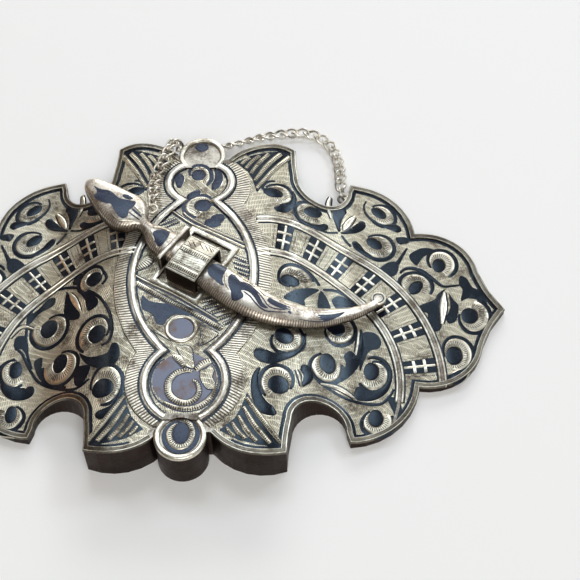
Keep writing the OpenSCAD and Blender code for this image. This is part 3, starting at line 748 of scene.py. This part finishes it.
# Leaves of plain silver between the volutes. Columns: x, y, width
RIGHT_LEAVES = [
    [(28.9, -5.2, .4), (28.6, -8, .6), (28.3, -10.6, .3)],
    [(17.9, -15.8, .4), (18.6, -17.4, .7), (19.0, -19.4, .3)],
    [(22.0, -17.6, .3), (25.4, -17.6, .9), (28.2, -19.2, .4)]]
OUTER_LEAVES = [
    [(44.4, 3.9, .3), (44.2, 2.2, 1.1), (44.1, .4, 1.4), (43.9, -1.6, 1.1), (43.7, -3.6, .5)],
    [(28.4, 20.8, .4), (27.4, 19.4, 1.2), (26.6, 17.9, 1.2), (26.0, 16.6, .4)],
    [(23.6, 24.2, .4), (23.2, 21.6, .9), (23.9, 18.6, .4)]]
LEFT_LEAVES = [
    [(-23.4, 1.4, .3), (-22.2, -.8, 1.2), (-20.6, -3.8, .4)],
    [(-29.0, -5.6, .3), (-31.6, -5.0, .7), (-33.4, -7.6, .3)]]


def mirrored(rows_list):
    return [[(-row[0], *row[1:]) for row in rows] for rows in rows_list]


left_outer = [(-ex, ey, erx, ery, -tilt, -cx, cy, rx, ry, 180 - start, -turn)
              for ex, ey, erx, ery, tilt, cx, cy, rx, ry, start, turn in OUTER_VOLUTES]
for half, volutes, strokes, leaves, fields in (
        ("right", RIGHT_VOLUTES + OUTER_VOLUTES, RIGHT_NIELLO + OUTER_NIELLO,
         RIGHT_LEAVES + OUTER_LEAVES, RIGHT_FIELDS + OUTER_FIELDS),
        ("left", LEFT_VOLUTES + left_outer, LEFT_NIELLO + mirrored(OUTER_NIELLO),
         LEFT_LEAVES + mirrored(OUTER_LEAVES), LEFT_FIELDS + mirrored(OUTER_FIELDS))):
    rings, edges, dark = new_sheet(), new_sheet(), new_sheet()
    for row in volutes:
        volute(rings, edges, dark, row)
    for rows in strokes:
        inlay(edges, dark, rows)
    for rows in leaves:
        outlined(edges, dark, rows)
    for outline in fields:
        skin(dark, rounded(outline, 5, closed=True), high=0.13)
    finish(rings, half + "_volutes", notched_silver)
    finish(edges, half + "_leaf_edges", bright_silver)
    finish(dark, half + "_scroll_niello", niello)


# Left half: the same sheet, mirrored, whose edge slips under the medallion's. A fine line
# of niello follows the rim on its inside, on both halves.
def beyond(points, side, x):
    """The stretch of a line that lies further out on one side than x."""
    span = [i for i, p in enumerate(points) if side * p.x > x]
    return slice(span[0], span[-1] + 1)


seam = 0.12
left_rail = [Vector((medallion_x - seam - p.x, p.y)) for p in arcs(MILLED)]
bm = new_sheet()
kept = [p for p in inset(left_edge, 0.8) if p.x < -6.2]
skin(bm, kept + [p for p in left_rail if p.y < kept[-1].y + 1])
finish(bm, "left_ground", ground_silver)
bead, fine = rim(left_edge, beyond(left_edge, -1, 5.0))
finish(bead, "left_rim", rim_silver)
finish(fine, "left_rim_lines", bright_silver)
bm = new_sheet()
for edge, side, start in ((right_edge, 1, 7.2), (left_edge, -1, 8.6)):
    near, far = inset(edge, 0.95), inset(edge, 1.55)
    part = beyond(far, side, start)
    sweep(bm, near[part], far[part], 0.1, across=5, crown=6)
finish(bm, "rim_lines", niello)

# Wings: the four pointed corners between the lobes and the notches are niello, with
# straight silver bars that fan out across them, each cut with fine notches.
WING = [
    (9.9, -21.6), (16.1, -31.2), (14.5, -31.8), (12.0, -31.5), (8.6, -30.6), (5.6, -28.9), (8.0, -26.6),
    (9.0, -24.6)]
WING_BARS = [
    [(9.7, -22.4, .55), (12.7, -26.8, .8), (16.0, -31.0, .7)],
    [(9.3, -24.2, .5), (11.5, -28, .8), (14.2, -31.3, .7)],
    [(8.5, -25.9, .5), (10.1, -28.8, .75), (12.0, -31.1, .6)],
    [(7.5, -27.2, .5), (8.8, -29.2, .6), (10.2, -30.6, .5)],
    [(6.6, -28.2, .4), (7.5, -29.4, .5), (8.4, -30.1, .4)]]


def in_corner(side, end, x, y):
    """A point of the right lower corner, as one of another corner. Those of the left half
    stand up to a millimetre further from the medallion."""
    shift = max(0, 1 - (x - 9) / 9) if side < 0 else 0
    return side * x - shift, end * y


ground, bars, edges = new_sheet(), new_sheet(), new_sheet()
for side in (1, -1):
    for end in (-1, 1):
        skin(ground, [in_corner(side, end, x, y) for x, y in WING], high=0.08)
        for rows in WING_BARS:
            stroke(bars, [(*in_corner(side, end, x, y), w) for x, y, w in rows], 0.26, crown=3)
            for edge in (-1, 1):
                beside = [(x + edge * 0.42 * w, y + edge * 0.30 * w) for x, y, w in rows]
                stroke(edges, [(*in_corner(side, end, x, y), 0.2) for x, y in beside], 0.28, across=5)
finish(ground, "wing_niello", niello)
finish(bars, "wing_bars", notched_silver)
finish(edges, "wing_bar_edges", bright_silver)


# Middle of the medallion: a milled spiral and a leaf below on smooth silver painted dark bluish
# grey as a painted reflection, a round boss and a field of niello in the middle, ridges that run
# with the pin, and two small volutes above. Its niello is lighter, with a painted sheen.
def oval(x, y, rx, ry=None):
    """A closed line round an oval, or round a circle where it has one radius."""
    return [oval_point(x, y, rx, ry or rx, 0, 360 * i / 56) for i in range(57)]


# The columns are those of the scrollwork's tables. Fields are outlines
MEDALLION_VOLUTES = [
    (-1.2, 25.7, 1.3, 1.25, 0, -1.2, 25.2, 2.1, 2.5, 200, -260),
    (0.0, 18.4, 1.5, 1.35, 15, -0.6, 18.2, 2.6, 2.2, -20, 300),
    (-0.7, -29.6, 1.4, 2.05, 0, -0.75, -29.7, 2.45, 3.0, 90, 358)]
MEDALLION_NIELLO = [
    [(-5.6, 25.4, .8), (-4.9, 25.2, 1.9), (-4.7, 23.8, 1.4), (-4.7, 22.4, .6)],
    [(1.8, 27.4, .6), (2.5, 26.0, 1.3), (2.6, 24.4, 1.5), (1.9, 22.9, 1.5), (1.2, 22.8, 1.0)],
    [(-1.1, 22.4, .5), (-1.2, 21.5, 1.3), (-2.2, 20.7, 1.4), (-3.2, 20.3, .8)],
    [(.4, 14.7, 1.2), (2.0, 14.4, 2.2), (3.2, 15.2, 2.6), (4.2, 14.8, 1.8)]]
MEDALLION_RIDGES = [
    [(-11.6, 2.6, .5), (-8.2, .6, .5), (-4, -1.6, .5), (0, -4.2, .5), (4.6, -7.3, .5)],
    [(-6.5, 17.8, .5), (-2, 14.2, .5), (2, 12.2, .5), (8.6, 8.6, .5)],
    [(-3.6, 16.9, .35), (-2.4, 15.6, .35), (1, 13.4, .35), (5, 11.4, .35), (8.4, 9.6, .35)]]
MEDALLION_HATCHED = [
    [(-11.2, 1.0, 1.0), (-5.6, -2.5, 1.0), (-.4, -5.4, 1.0), (5.2, -9.0, 1.0)],
    [(0.7, -17.6, 0.5), (-0.8, -17.4, 0.8), (-2.5, -18.1, 1), (-3.5, -19.8, 1.15), (-3.3, -21.9, 1.15),
     (-2.1, -23.3, 1.15), (-0.3, -23.8, 1.1), (1.2, -23, 1), (1.8, -21.4, 0.8), (1.3, -19.8, 0.6),
     (0.4, -19.2, 0.35)],
    [(3.7, -15.4, 0.9), (2.2, -16.1, 1.5), (0.7, -17.5, 0.8)],
    [(-3.4, -14.6, 0.5), (-2.2, -15.0, 1.3), (-0.8, -16.9, 0.8)],
    [(-4.2, -23.6, .5), (-2, -24.7, .8), (0.4, -24.9, .9), (2.6, -24.0, 1.0), (4.1, -22.2, .9),
     (4.6, -20.2, .4)],
    [(.7, -3.3, .55), (3.3, -2.3, .55)], [(1.3, -4.6, .55), (4.4, -3.5, .55)],
    [(2.6, -5.7, .55), (5.5, -4.4, .55)], [(4.0, -6.9, .55), (6.6, -5.6, .55)],
    [(5.0, -8.0, .5), (7.2, -6.7, .5)], [(6.2, 7.0, .5), (9.0, 5.6, .5)],
    [(6.0, 5.8, .5), (9.3, 4.6, .5)], [(6.4, 4.6, .5), (9.4, 3.5, .5)], [(7.0, 3.5, .5), (9.4, 2.5, .5)],
    [(-11.6, 3.6, 1.2), (-9.4, 5.6, 2.4), (-9.0, 7.2, 1.2)], [(-7.8, 13.7, .4), (-4.4, 15.6, .4)],
    [(-6.8, 13.3, .4), (-3.9, 14.8, .4)]]
PLAIN_FIELDS = [
    [(0.9, -7.9), (4.4, -9.9), (1.2, -12.4), (1.4, -10.2)],
    [(-8.4, -7.5), (-7.3, -6.2), (-6.3, -8.0), (-5.1, -8.3), (-4.7, -10.1), (-3.7, -11.4), (-5.7, -10.2),
     (-7.5, -9.1)],
    [(3.4, -16.4), (4.1, -17.2), (3.9, -18.6), (4.5, -19.9), (4.2, -21.0), (3.0, -20.9), (1.8, -18.9),
     (1.8, -17.3), (2.5, -17.1)],
    [(-2.9, -12.3), (-0.2, -12.6), (0.4, -15.0), (0.7, -16.9), (-0.5, -16.7), (-1.2, -15.3),
     (-2.2, -13.8)]]
FIELD = [
    (-9.4, -1.9), (-8.3, -3.0), (-6.6, -3.5), (-4.4, -3.7), (-2.6, -4.4), (-.9, -5.4), (-.6, -6.0),
    (-1.6, -6.1), (-3.2, -5.9), (-4.5, -6.7), (-5.2, -7.9), (-6.3, -8.0), (-6.9, -6.5), (-7.8, -5.6),
    (-9.1, -4.9), (-9.6, -3.4)]
boss, lower_x, lower_y = (-2.1, -8.9), -0.8, -19.4
rings, edges, dark, hatched, plain, smoke = [new_sheet() for _ in range(6)]
for row in MEDALLION_VOLUTES:
    volute(rings, edges, dark, row)
for rows in MEDALLION_NIELLO:
    inlay(edges, dark, rows)
for rows in MEDALLION_RIDGES:
    outlined(edges, dark, rows, 0.3)
for rows in MEDALLION_HATCHED:
    outlined(hatched, dark, rows, 0.22, crown=4)
skin(smoke, oval(lower_x, lower_y + 0.2, 5.5, 5.3), high=0.07)
for outline in PLAIN_FIELDS:
    skin(plain, rounded(outline, 2, closed=True), high=0.12)
    stroke(dark, [(*p, 0.26) for p in outline + outline[:1]], 0.14, across=5, crown=4)
skin(smoke, oval(*boss, 2.1), high=0.12)
skin(dark, rounded(FIELD, 5, closed=True), high=0.14)
sweep(edges, oval(*boss, 2.95), oval(*boss, 2.1), 0.36, across=8, crown=2.5)
sweep(dark, oval(*boss, 2.25), oval(*boss, 1.9), 0.12, across=5, crown=6)
around_it = [(lower_x + x, lower_y + y, width) for x, y, width in bow(5.75, 128, 412, 0.3, 5)]
stroke(dark, around_it, 0.1, across=5, crown=6)
pebble(dark, -1.0, 32.6, 1.25, 1.05, 0)
finish(plain, "medallion_plain_fields", ground_silver)
finish(smoke, "medallion_smooth_fields", dark_reflection_silver)
finish(rings, "medallion_volutes", notched_silver)
finish(hatched, "medallion_hatching", notched_silver)
finish(edges, "medallion_ridges", bright_silver)
finish(dark, "medallion_niello", sheen_painted_niello)

# Slot frame: a raised silver border soldered round the slot that the keeper comes through.
# The slot is turned with the keeper, which stands across the pin.
keeper_turn = radians(-30)
keeper_way = Vector((cos(keeper_turn), sin(keeper_turn)))
keeper_across = Vector((-sin(keeper_turn), cos(keeper_turn)))
frame_width = 1.06


def by_keeper(u, v):
    """The point at u along the keeper's direction and v across it."""
    return keeper_way * u + keeper_across * v


bm = new_sheet()
inside, outside = ([(-6.9 - d, -2.2 - d), (1.1 + d, -2.2 - d), (1.1 + d, 9.7 + d), (-6.9 - d, 9.7 + d)]
                   for d in (0, frame_width))
for i in range(4):
    sides = []
    for corners in (inside, outside):
        a, b = by_keeper(*corners[i]), by_keeper(*corners[(i + 1) % 4])
        sides.append([a.lerp(b, k / 6) for k in range(7)])
    sweep(bm, *sides, 0.66, across=8, crown=4.5, sink=0.1)
finish(bm, "slot_frame", bright_silver)

# Keeper: an arched strap of silver sheet that the pin slides under, held by feet turned out
# under the left half's tongue. Its top is engraved with two rows of ticks, a field of
# slanting cuts between them and a row of small leaves.
dress("keeper", plate_metal)
keeper_silver = metal("keeper_silver", (0.74, 0.70, 0.58), (0.20, 0.17, 0.13), 0.45, 260, (0.36, 0.5))
keeper_top, keeper_middle, keeper_half, keeper_rise = 11.65, 2.8, 4.1, 0.45
arch_r = (keeper_half ** 2 + keeper_rise ** 2) / (2 * keeper_rise)


def on_keeper(x, y):
    v = Vector((x, y)).dot(keeper_across) - keeper_middle
    return keeper_top - arch_r + sqrt(arch_r ** 2 - v * v)


def along_keeper(v, width, start=-5.36, stop=0.66, rise=0.0):
    """Rows of a line that runs the keeper's own way, at v across it."""
    return [(*by_keeper(start + (stop - start) * k / 4, v + rise * k / 4), width) for k in range(5)]


top_sheet, ticks, beads, dark = new_sheet(), new_sheet(), new_sheet(), new_sheet()
skin(top_sheet, [by_keeper(u, v) for u, v in ((-5.44, -1.28), (0.74, -1.28), (0.74, 6.88), (-5.44, 6.88))],
     high=0.04, low=-0.02, on=on_keeper, cut=0.4)
for v, width in ((-0.1, 1.05), (3.75, 1.1)):
    stroke(ticks, along_keeper(v, width), 0.08, across=7, crown=6, on=on_keeper, blunt=True)
for v, width in ((-1.12, 0.24), (0.56, 0.16), (6.7, 0.3)):
    stroke(beads, along_keeper(v, width), 0.16, across=7, crown=2.4, on=on_keeper, blunt=True)
for u in (-5.34, 0.6):
    edge = [(*by_keeper(u, v), 0.26) for v in (-1.2, 1, 3, 5, 6.8)]
    stroke(beads, edge, 0.14, across=7, on=on_keeper, blunt=True)
for v, width in ((-0.86, 0.17), (0.76, 0.17), (3.08, 0.11), (4.42, 0.1)):
    stroke(dark, along_keeper(v, width), 0.09, across=5, crown=4, on=on_keeper, blunt=True)
for k in range(7):
    slant = along_keeper(0.55 + 0.42 * k, 0.07, max(-5.2, -3.4 - 0.9 * k), min(0.5, 2.6 - 0.9 * k), 0.75)
    stroke(dark, slant, 0.075, across=5, on=on_keeper)
for u, v, long in ((-5.2, 5.6, 1.5), (-4.5, 6.0, 1.7), (-3.3, 6.4, 1.9), (-2.3, 6.5, 1.9),
                   (-1.4, 6.5, 1.7), (-0.6, 6.4, 1.1)):
    leaf = [(*by_keeper(u, v), 0.1), (*by_keeper(u + 0.5 * long, v - 0.36 * long), 0.22),
            (*by_keeper(u + long, v - 0.7 * long), 0.08)]
    stroke(dark, leaf, 0.1, across=5, on=on_keeper)
finish(top_sheet, "keeper_top", keeper_silver)
finish(ticks, "keeper_ticks", notched_silver)
finish(beads, "keeper_beads", bright_silver)
finish(dark, "keeper_niello", niello)

# Sabre pin: cast silver, with a leaf-shaped hilt, a collar, a cross guard and a curved
# scabbard, with painted shade, black, low on its sides. It stands for the plainer solid of the
# same size. PIN holds x, y and height of its middle line, its width and its depth.
PIN = [
    (-21.2, 21.6, 10.2, 1.4, 1.2), (-20.2, 20.5, 10.2, 3.6, 2.2), (-17.8, 18.2, 10.1, 5.9, 2.9),
    (-15.2, 15.8, 10.0, 7.5, 3.2), (-13.1, 14.2, 9.9, 8.1, 3.2), (-11.5, 13.0, 9.8, 6.2, 2.9),
    (-10.4, 12.1, 9.7, 2.9, 2.5), (-9.4, 11.1, 9.6, 2.6, 2.4), (-8.2, 10.1, 9.5, 4.2, 2.4),
    (-6.9, 9.0, 9.4, 5.5, 2.5), (-5.0, 7.4, 9.3, 5.6, 2.4), (-3.2, 5.85, 9.25, 5.2, 2.4),
    (2.0, 1.65, 9.25, 5.9, 2.4), (7.4, -2.4, 9.1, 6.6, 2.4), (11.5, -4.8, 8.85, 6.1, 2.3),
    (16.2, -5.9, 7.85, 5.2, 2.1), (21.8, -5.4, 6.0, 4.1, 1.9), (26.9, -3.7, 4.6, 2.7, 1.6),
    (30.5, -1.6, 3.8, 1.9, 1.3), (32.0, -0.4, 3.6, 1.4, 1.0)]
guard_size, guard_at, guard_turn = (0.9, 8.6, 3.2), (-4.35, 7.2, 9.75), radians(-34)
end_x, end_y, end_top, end_depth, end_r = 32.3, 0.3, 4.1, 1, 1.4
spine = rounded(PIN, 10)


def squareness(x):
    """How square the pin's cross-section is: 2 is an ellipse, and the hilt is squarer."""
    return 2.3 + 0.9 * min(max((-10 - x) / 2, 0), 1)


def on_pin(x, y):
    """Height of the pin's top, over the nearest point of its middle line."""
    near = min(range(1, len(spine) - 1), key=lambda i: (spine[i][0] - x) ** 2 + (spine[i][1] - y) ** 2)
    choices = []
    for a, b in ((spine[near - 1], spine[near]), (spine[near], spine[near + 1])):
        way, there = Vector(b[:2]) - Vector(a[:2]), Vector((x, y)) - Vector(a[:2])
        row = a.lerp(b, min(max(there.dot(way) / way.length_squared, 0), 1))
        choices.append((hypot(row[0] - x, row[1] - y), row))
    off, row = min(choices, key=lambda choice: choice[0])
    power = squareness(x)
    return row[2] + row[4] * 0.6 * (1 - min(0.97, off / (row[3] / 2)) ** power) ** (1 / power)


bm = new_sheet()
around, points = 36, [Vector(row[:3]) for row in spine]
along = distances(points)
grid = bmesh.ops.create_grid(bm, x_segments=len(spine) - 1, y_segments=around, size=1)["verts"]
uv = bm.loops.layers.uv.active
where = {}
for v in grid:
    i, k = round((v.co.x + 1) / 2 * (len(spine) - 1)), round((v.co.y + 1) / 2 * around)
    width, depth = spine[i][3:]
    ahead = (points[min(i + 1, len(spine) - 1)] - points[max(i - 1, 0)]).normalized()
    side = ahead.cross(Vector((0, 0, 1))).normalized()
    over = side.cross(ahead)
    a, power = 2 * pi * (k % around) / around, 2 / squareness(spine[i][0])
    share = 0.6 if sin(a) > 0 else 0.4
    v.co = (points[i] + side * copysign(abs(cos(a)) ** power, cos(a)) * width / 2
            + over * copysign(abs(sin(a)) ** power, sin(a)) * depth * share)
    where[v] = (along[i], k / around)
for f in bm.faces:
    for loop in f.loops:
        loop[uv].uv = where[loop.vert]
guard = bmesh.ops.create_cube(bm, size=1)["verts"]
bmesh.ops.scale(bm, vec=guard_size, verts=guard)
bmesh.ops.bevel(bm, geom=list({e for v in guard for e in v.link_edges}), offset=0.22, segments=3,
                affect="EDGES", profile=0.5, material=-1)
guard = [v for v in bm.verts if v not in where]
bmesh.ops.rotate(bm, cent=(0, 0, 0), matrix=Matrix.Rotation(guard_turn, 3, "Z"), verts=guard)
bmesh.ops.translate(bm, vec=guard_at, verts=guard)
done = set(bm.verts)
disc = bmesh.ops.create_cone(bm, cap_ends=True, segments=40, radius1=end_r, radius2=end_r,
                             depth=end_depth)["verts"]
rims = [e for e in {e for v in disc for e in v.link_edges} if abs(e.verts[0].co.z - e.verts[1].co.z) < 0.1]
bmesh.ops.bevel(bm, geom=rims, offset=0.12, segments=3, affect="EDGES", profile=0.5, material=-1)
bmesh.ops.translate(bm, vec=(end_x, end_y, end_top - end_depth / 2),
                    verts=[v for v in bm.verts if v not in done])
# The pin's sides are painted near black as shade where its faces turn sideways.
pin_metal = metal("pin_metal", (0.80, 0.74, 0.64), (0.24, 0.19, 0.15), 0.46, 220, (0.34, 0.48),
                  rows=[(0.42, 0.015, 0.15)], walls=(-0.1, 0.5))
finish(bm, "sabre_pin_body", pin_metal, stands_for=["sabre_pin"])

# Niello of the pin: leaves and stems on the hilt, the collar and the scabbard, with thin
# raised lines of silver round them. The end disc of the scabbard is bare, with two rings.
PIN_FIELDS = [
    [(-19.8, 19.6), (-18.6, 18.8), (-17.4, 18.5), (-16.5, 18.2), (-15.8, 17.5), (-14.8, 16.6),
     (-13.3, 16.2), (-12.1, 16.0), (-11.7, 15.6), (-12.1, 14.6), (-12.8, 13.9), (-12.9, 12.8),
     (-13.4, 12.2), (-14.1, 12.2), (-14.9, 13.0), (-15.7, 14.3), (-16.2, 15.2), (-17.1, 15.4),
     (-18.3, 16.0), (-19.3, 16.8), (-19.5, 17.4), (-19.0, 17.8), (-19.3, 18.8)],
    [(-14.3, 17.1), (-13.9, 17.6), (-13.1, 17.4), (-12.3, 16.7), (-12.8, 16.3), (-13.6, 16.5)],
    [(-8.0, 9.8), (-6.4, 10.2), (-5.2, 9.6), (-5.7, 7.9), (-6.7, 6.6), (-7.7, 7.4), (-8.1, 8.8)],
    [(2.1, 1.5), (2.6, 2.6), (3.6, 3.1), (4.5, 3.0), (5.2, 2.7), (5.5, 2.1), (5.2, 1.2), (4.9, 0.2),
     (4.8, -0.8), (5.2, -1.7), (4.3, -1.4), (3.3, -0.4), (2.4, 0.4)],
    [(5.9, 0.3), (6.4, 0.9), (7.1, 0.5), (7.9, -0.6), (9.0, -1.2), (9.9, -1.8), (10.8, -2.7),
     (11.5, -3.9), (12.1, -5.1), (13.0, -6.0), (11.9, -5.9), (11.2, -5.2), (10.5, -4.0), (9.6, -3.0),
     (8.5, -2.6), (8.2, -2.8), (8.6, -3.5), (8.6, -4.1), (8.1, -4.5), (7.4, -4.8), (6.7, -4.6),
     (6.5, -4.0), (6.4, -2.9), (6.0, -1.9), (5.8, -0.6)],
    [(12.8, -4.4), (13.3, -3.8), (14.3, -4.3), (15.5, -4.7), (16.7, -5.0), (18.0, -5.1), (17.1, -5.6),
     (15.7, -5.75), (14.5, -5.5), (13.5, -5.1)],
    [(16.4, -6.0), (17.8, -5.4), (19.0, -5.1), (19.9, -5.3), (20.6, -6.0), (20.9, -6.3), (19.5, -6.4),
     (18.2, -6.6), (16.8, -6.5)],
    [(21.1, -5.6), (22.8, -5.2), (24.6, -4.6), (26.3, -3.8), (25.5, -4.9), (24.4, -5.7), (23.0, -6.4),
     (22.0, -6.4), (21.1, -6.3)]]
PIN_CUTS = [
    [(8.5, -2.8, .2), (9.8, -3.9, .3), (10.8, -5.2, .3), (11.9, -6.2, .3), (13.3, -6.6, .25),
     (16.4, -6.3, .15)],
    [(7.9, -0.9, .2), (9.3, -1.1, .25), (10.9, -2.6, .25), (12.1, -4.2, .25), (12.9, -5.4, .25),
     (14.0, -5.9, .25), (16.2, -5.8, .2)],
    [(15.4, -4.3, .15), (18.0, -4.9, .2), (20.2, -4.8, .2), (23.7, -4.0, .15)],
    [(20.6, -3.6, .3), (20.7, -4.8, .35), (21.3, -5.9, .2)],
    [(17.8, -7.2, .15), (19.9, -7.1, .2), (22.3, -6.7, .2), (24.6, -5.6, .15)],
    [(21.6, -4.9, .15), (23.7, -4.4, .2), (26.3, -3.5, .15)],
    [(-12.9, 13.6, .2), (-11.8, 12.7, .3), (-10.6, 12.0, .2)],
    [(-12.4, 14.4, .3), (-11.3, 13.4, .55), (-10.3, 12.6, .3)]]
PIN_RIDGES = [
    [(5.6, 1.7, .3), (5.35, 0.7, .4), (5.3, -0.6, .4), (5.6, -1.7, .4), (6.2, -2.7, .3)],
    [(-12.0, 14.9, .3), (-10.9, 13.9, .5), (-10.0, 13.1, .3)],
    [(-16.0, 13.2, .15), (-14.9, 12.0, .35), (-13.8, 11.7, .4), (-12.6, 11.7, .4), (-11.0, 11.7, .25)],
    [(-10.3, 11.0, .3), (-9.8, 11.6, .5), (-9.5, 12.1, .3)],
    [(-8.6, 10.2, .3), (-8.35, 9.4, .5), (-8.5, 8.9, .3)],
    [(-8.45, 9.0, .3), (-8.0, 8.1, .5), (-8.05, 7.6, .3)],
    [(-8.0, 7.7, .3), (-7.5, 6.9, .45), (-7.2, 6.4, .3)],
    [(-8.4, 10.6, .3), (-7.2, 10.8, .6), (-5.6, 10.3, .5), (-4.9, 9.7, .3)],
    [(6.3, 1.6, .2), (7.4, 1.3, .3), (8.2, 0.3, .3), (9.6, -0.6, .35), (11.2, -2.0, .4), (12.6, -3.4, .4),
     (14.4, -3.6, .35), (16.8, -4.0, .35), (20.0, -4.2, .35), (24.0, -3.4, .3), (27.6, -2.5, .25)]]


def on_end_disc(x, y):
    return end_top


edges, dark = new_sheet(), new_sheet()
for outline in PIN_FIELDS:
    skin(dark, rounded(outline, 3, closed=True), high=0.06, on=on_pin, cut=0.4)
for rows in PIN_CUTS:
    stroke(dark, rows, 0.08, across=5, crown=4, on=on_pin)
for rows in PIN_RIDGES:
    stroke(edges, rows, 0.16, across=7, crown=3, on=on_pin)
for sheet, outer, inner, height, across, crown in (
        (edges, 1.36, 1.0, 0.12, 6, 2), (edges, 0.82, 0.58, 0.08, 6, 2), (dark, 1.0, 0.82, 0.05, 5, 5)):
    sweep(sheet, oval(end_x, end_y, outer), oval(end_x, end_y, inner), height, across=across,
          crown=crown, on=on_end_disc)
finish(edges, "pin_ridges", bright_silver)
finish(dark, "pin_niello", sheen_painted_niello)


# Eye of the hilt: a loop of round wire soldered to the hilt's side, for the jump ring of
# the chain.
def wire(bm, points, radius, sides=12):
    """Round wire along a closed line of points."""
    n = len(points)
    middle = sum(points, Vector((0, 0, 0))) / n
    grid = bmesh.ops.create_grid(bm, x_segments=n, y_segments=sides, size=1)["verts"]
    for v in grid:
        i, k = round((v.co.x + 1) / 2 * n), round((v.co.y + 1) / 2 * sides)
        here = points[i % n]
        ahead = (points[(i + 1) % n] - points[i - 1]).normalized()
        out = (here - middle).normalized()
        out = (out - ahead * out.dot(ahead)).normalized()
        over = ahead.cross(out)
        a = 2 * pi * (k % sides) / sides
        v.co = here + radius * (out * cos(a) + over * sin(a))


def hoop(middle, r):
    """Points round a level circle."""
    turns = [2 * pi * i / 40 for i in range(40)]
    return [Vector((middle[0] + r * cos(a), middle[1] + r * sin(a), middle[2])) for a in turns]


hilt_eye, upper_eye = Vector((-9.0, 15.8, 9.8)), Vector((26.0, 24.9, 1.6))
ring_wire, ring_r = 0.22, 1.3
bm = new_sheet()
wire(bm, hoop(hilt_eye, 0.95), ring_wire)
finish(bm, "hilt_eye", bright_silver)

# Chain and rings: a curb chain of drawn silver wire, each link twisted so that it lies flat,
# hung from the hilt by one jump ring and from the upper notch by another. ROUTE holds x, y,
# height, and how far the chain is turned on its side there, in degrees.
ROUTE = [
    (-9.0, 19.3, 9.75, 0), (-9.15, 21.2, 9.25, 0), (-9.2, 23.1, 8.9, 0), (-8.8, 25.2, 8.8, 0),
    (-8.1, 27.4, 8.8, 0), (-7.5, 29.4, 8.85, 0), (-7.0, 30.9, 8.85, 12), (-6.5, 32.8, 8.35, 34),
    (-6.15, 34.3, 7.0, 60), (-5.9, 35.1, 5.1, 82), (-5.5, 35.5, 3.55, 90), (-4.7, 35.8, 2.35, 90),
    (-3.5, 36.25, 1.6, 90), (-2.0, 36.8, 1.25, 85), (0.4, 37.5, 1.2, 75), (2.9, 38.3, 1.2, 62),
    (5.6, 39.2, 1.15, 48), (9.7, 40.7, 1.1, 30), (14.9, 41.9, 1.0, 10), (19.0, 41.9, 0.95, 0),
    (22.3, 40.1, 0.95, 0), (24.2, 37.4, 0.95, 0), (25.1, 34.2, 1.0, 0), (25.4, 31.0, 1.3, 0),
    (25.51, 28.36, 1.6, 0)]
links, link_wire, link_reach, link_half, link_twist = 29, 0.23, 1.65, 0.975, radians(56)
wire_silver = metal("wire_silver", (0.86, 0.82, 0.73), (0.22, 0.19, 0.15), 0.42, 700, (0.28, 0.42))
route = rounded(ROUTE, 8)
points = [Vector(row[:3]) for row in route]
run = distances(points)
bm = new_sheet()
for n in range(links):
    s = run[-1] * n / (links - 1)
    i = max(k for k in range(len(run) - 1) if run[k] <= s + 1e-9)
    row = route[i].lerp(route[i + 1], (s - run[i]) / max(run[i + 1] - run[i], 0.001))
    middle, lean = Vector(row[:3]), radians(row[3])
    t = (points[min(i + 4, len(points) - 1)] - points[max(i - 3, 0)]).normalized()
    side = Vector((0, sin(lean), cos(lean))).cross(t).normalized()
    up = t.cross(side)
    side = up.cross(t)
    link = []
    for a in [2 * pi * k / 24 for k in range(24)]:
        y, twist = link_half * sin(a), link_twist * cos(a)
        link.append(middle + t * (link_reach * cos(a)) + side * (y * cos(twist)) + up * (y * sin(twist)))
    wire(bm, link, link_wire, sides=10)
finish(bm, "chain_links", wire_silver, stands_for=["chain"], smooth=60)
bm = new_sheet()
for eye, direction in ((hilt_eye, 90), (upper_eye, 98)):
    turn = Matrix.Rotation(radians(direction), 3, "Z") @ Matrix.Rotation(radians(66), 3, "X")
    wire(bm, [turn @ p + eye for p in hoop((ring_r, 0, 0), ring_r)], ring_wire)
finish(bm, "jump_rings", wire_silver, stands_for=["pin_ring", "anchor_ring"],
       smooth=60)

# Belt bars: plain drawn rods under each half, dark with tarnish, round which the sash is
# sewn. Their ends sit in blind sockets in the side walls.
bar_metal = metal("bar_metal", (0.42, 0.38, 0.32), (0.08, 0.065, 0.05), 0.6, 150, (0.35, 0.5))
for name in ("right_belt_bar", "left_belt_bar"):
    dress(name, bar_metal)
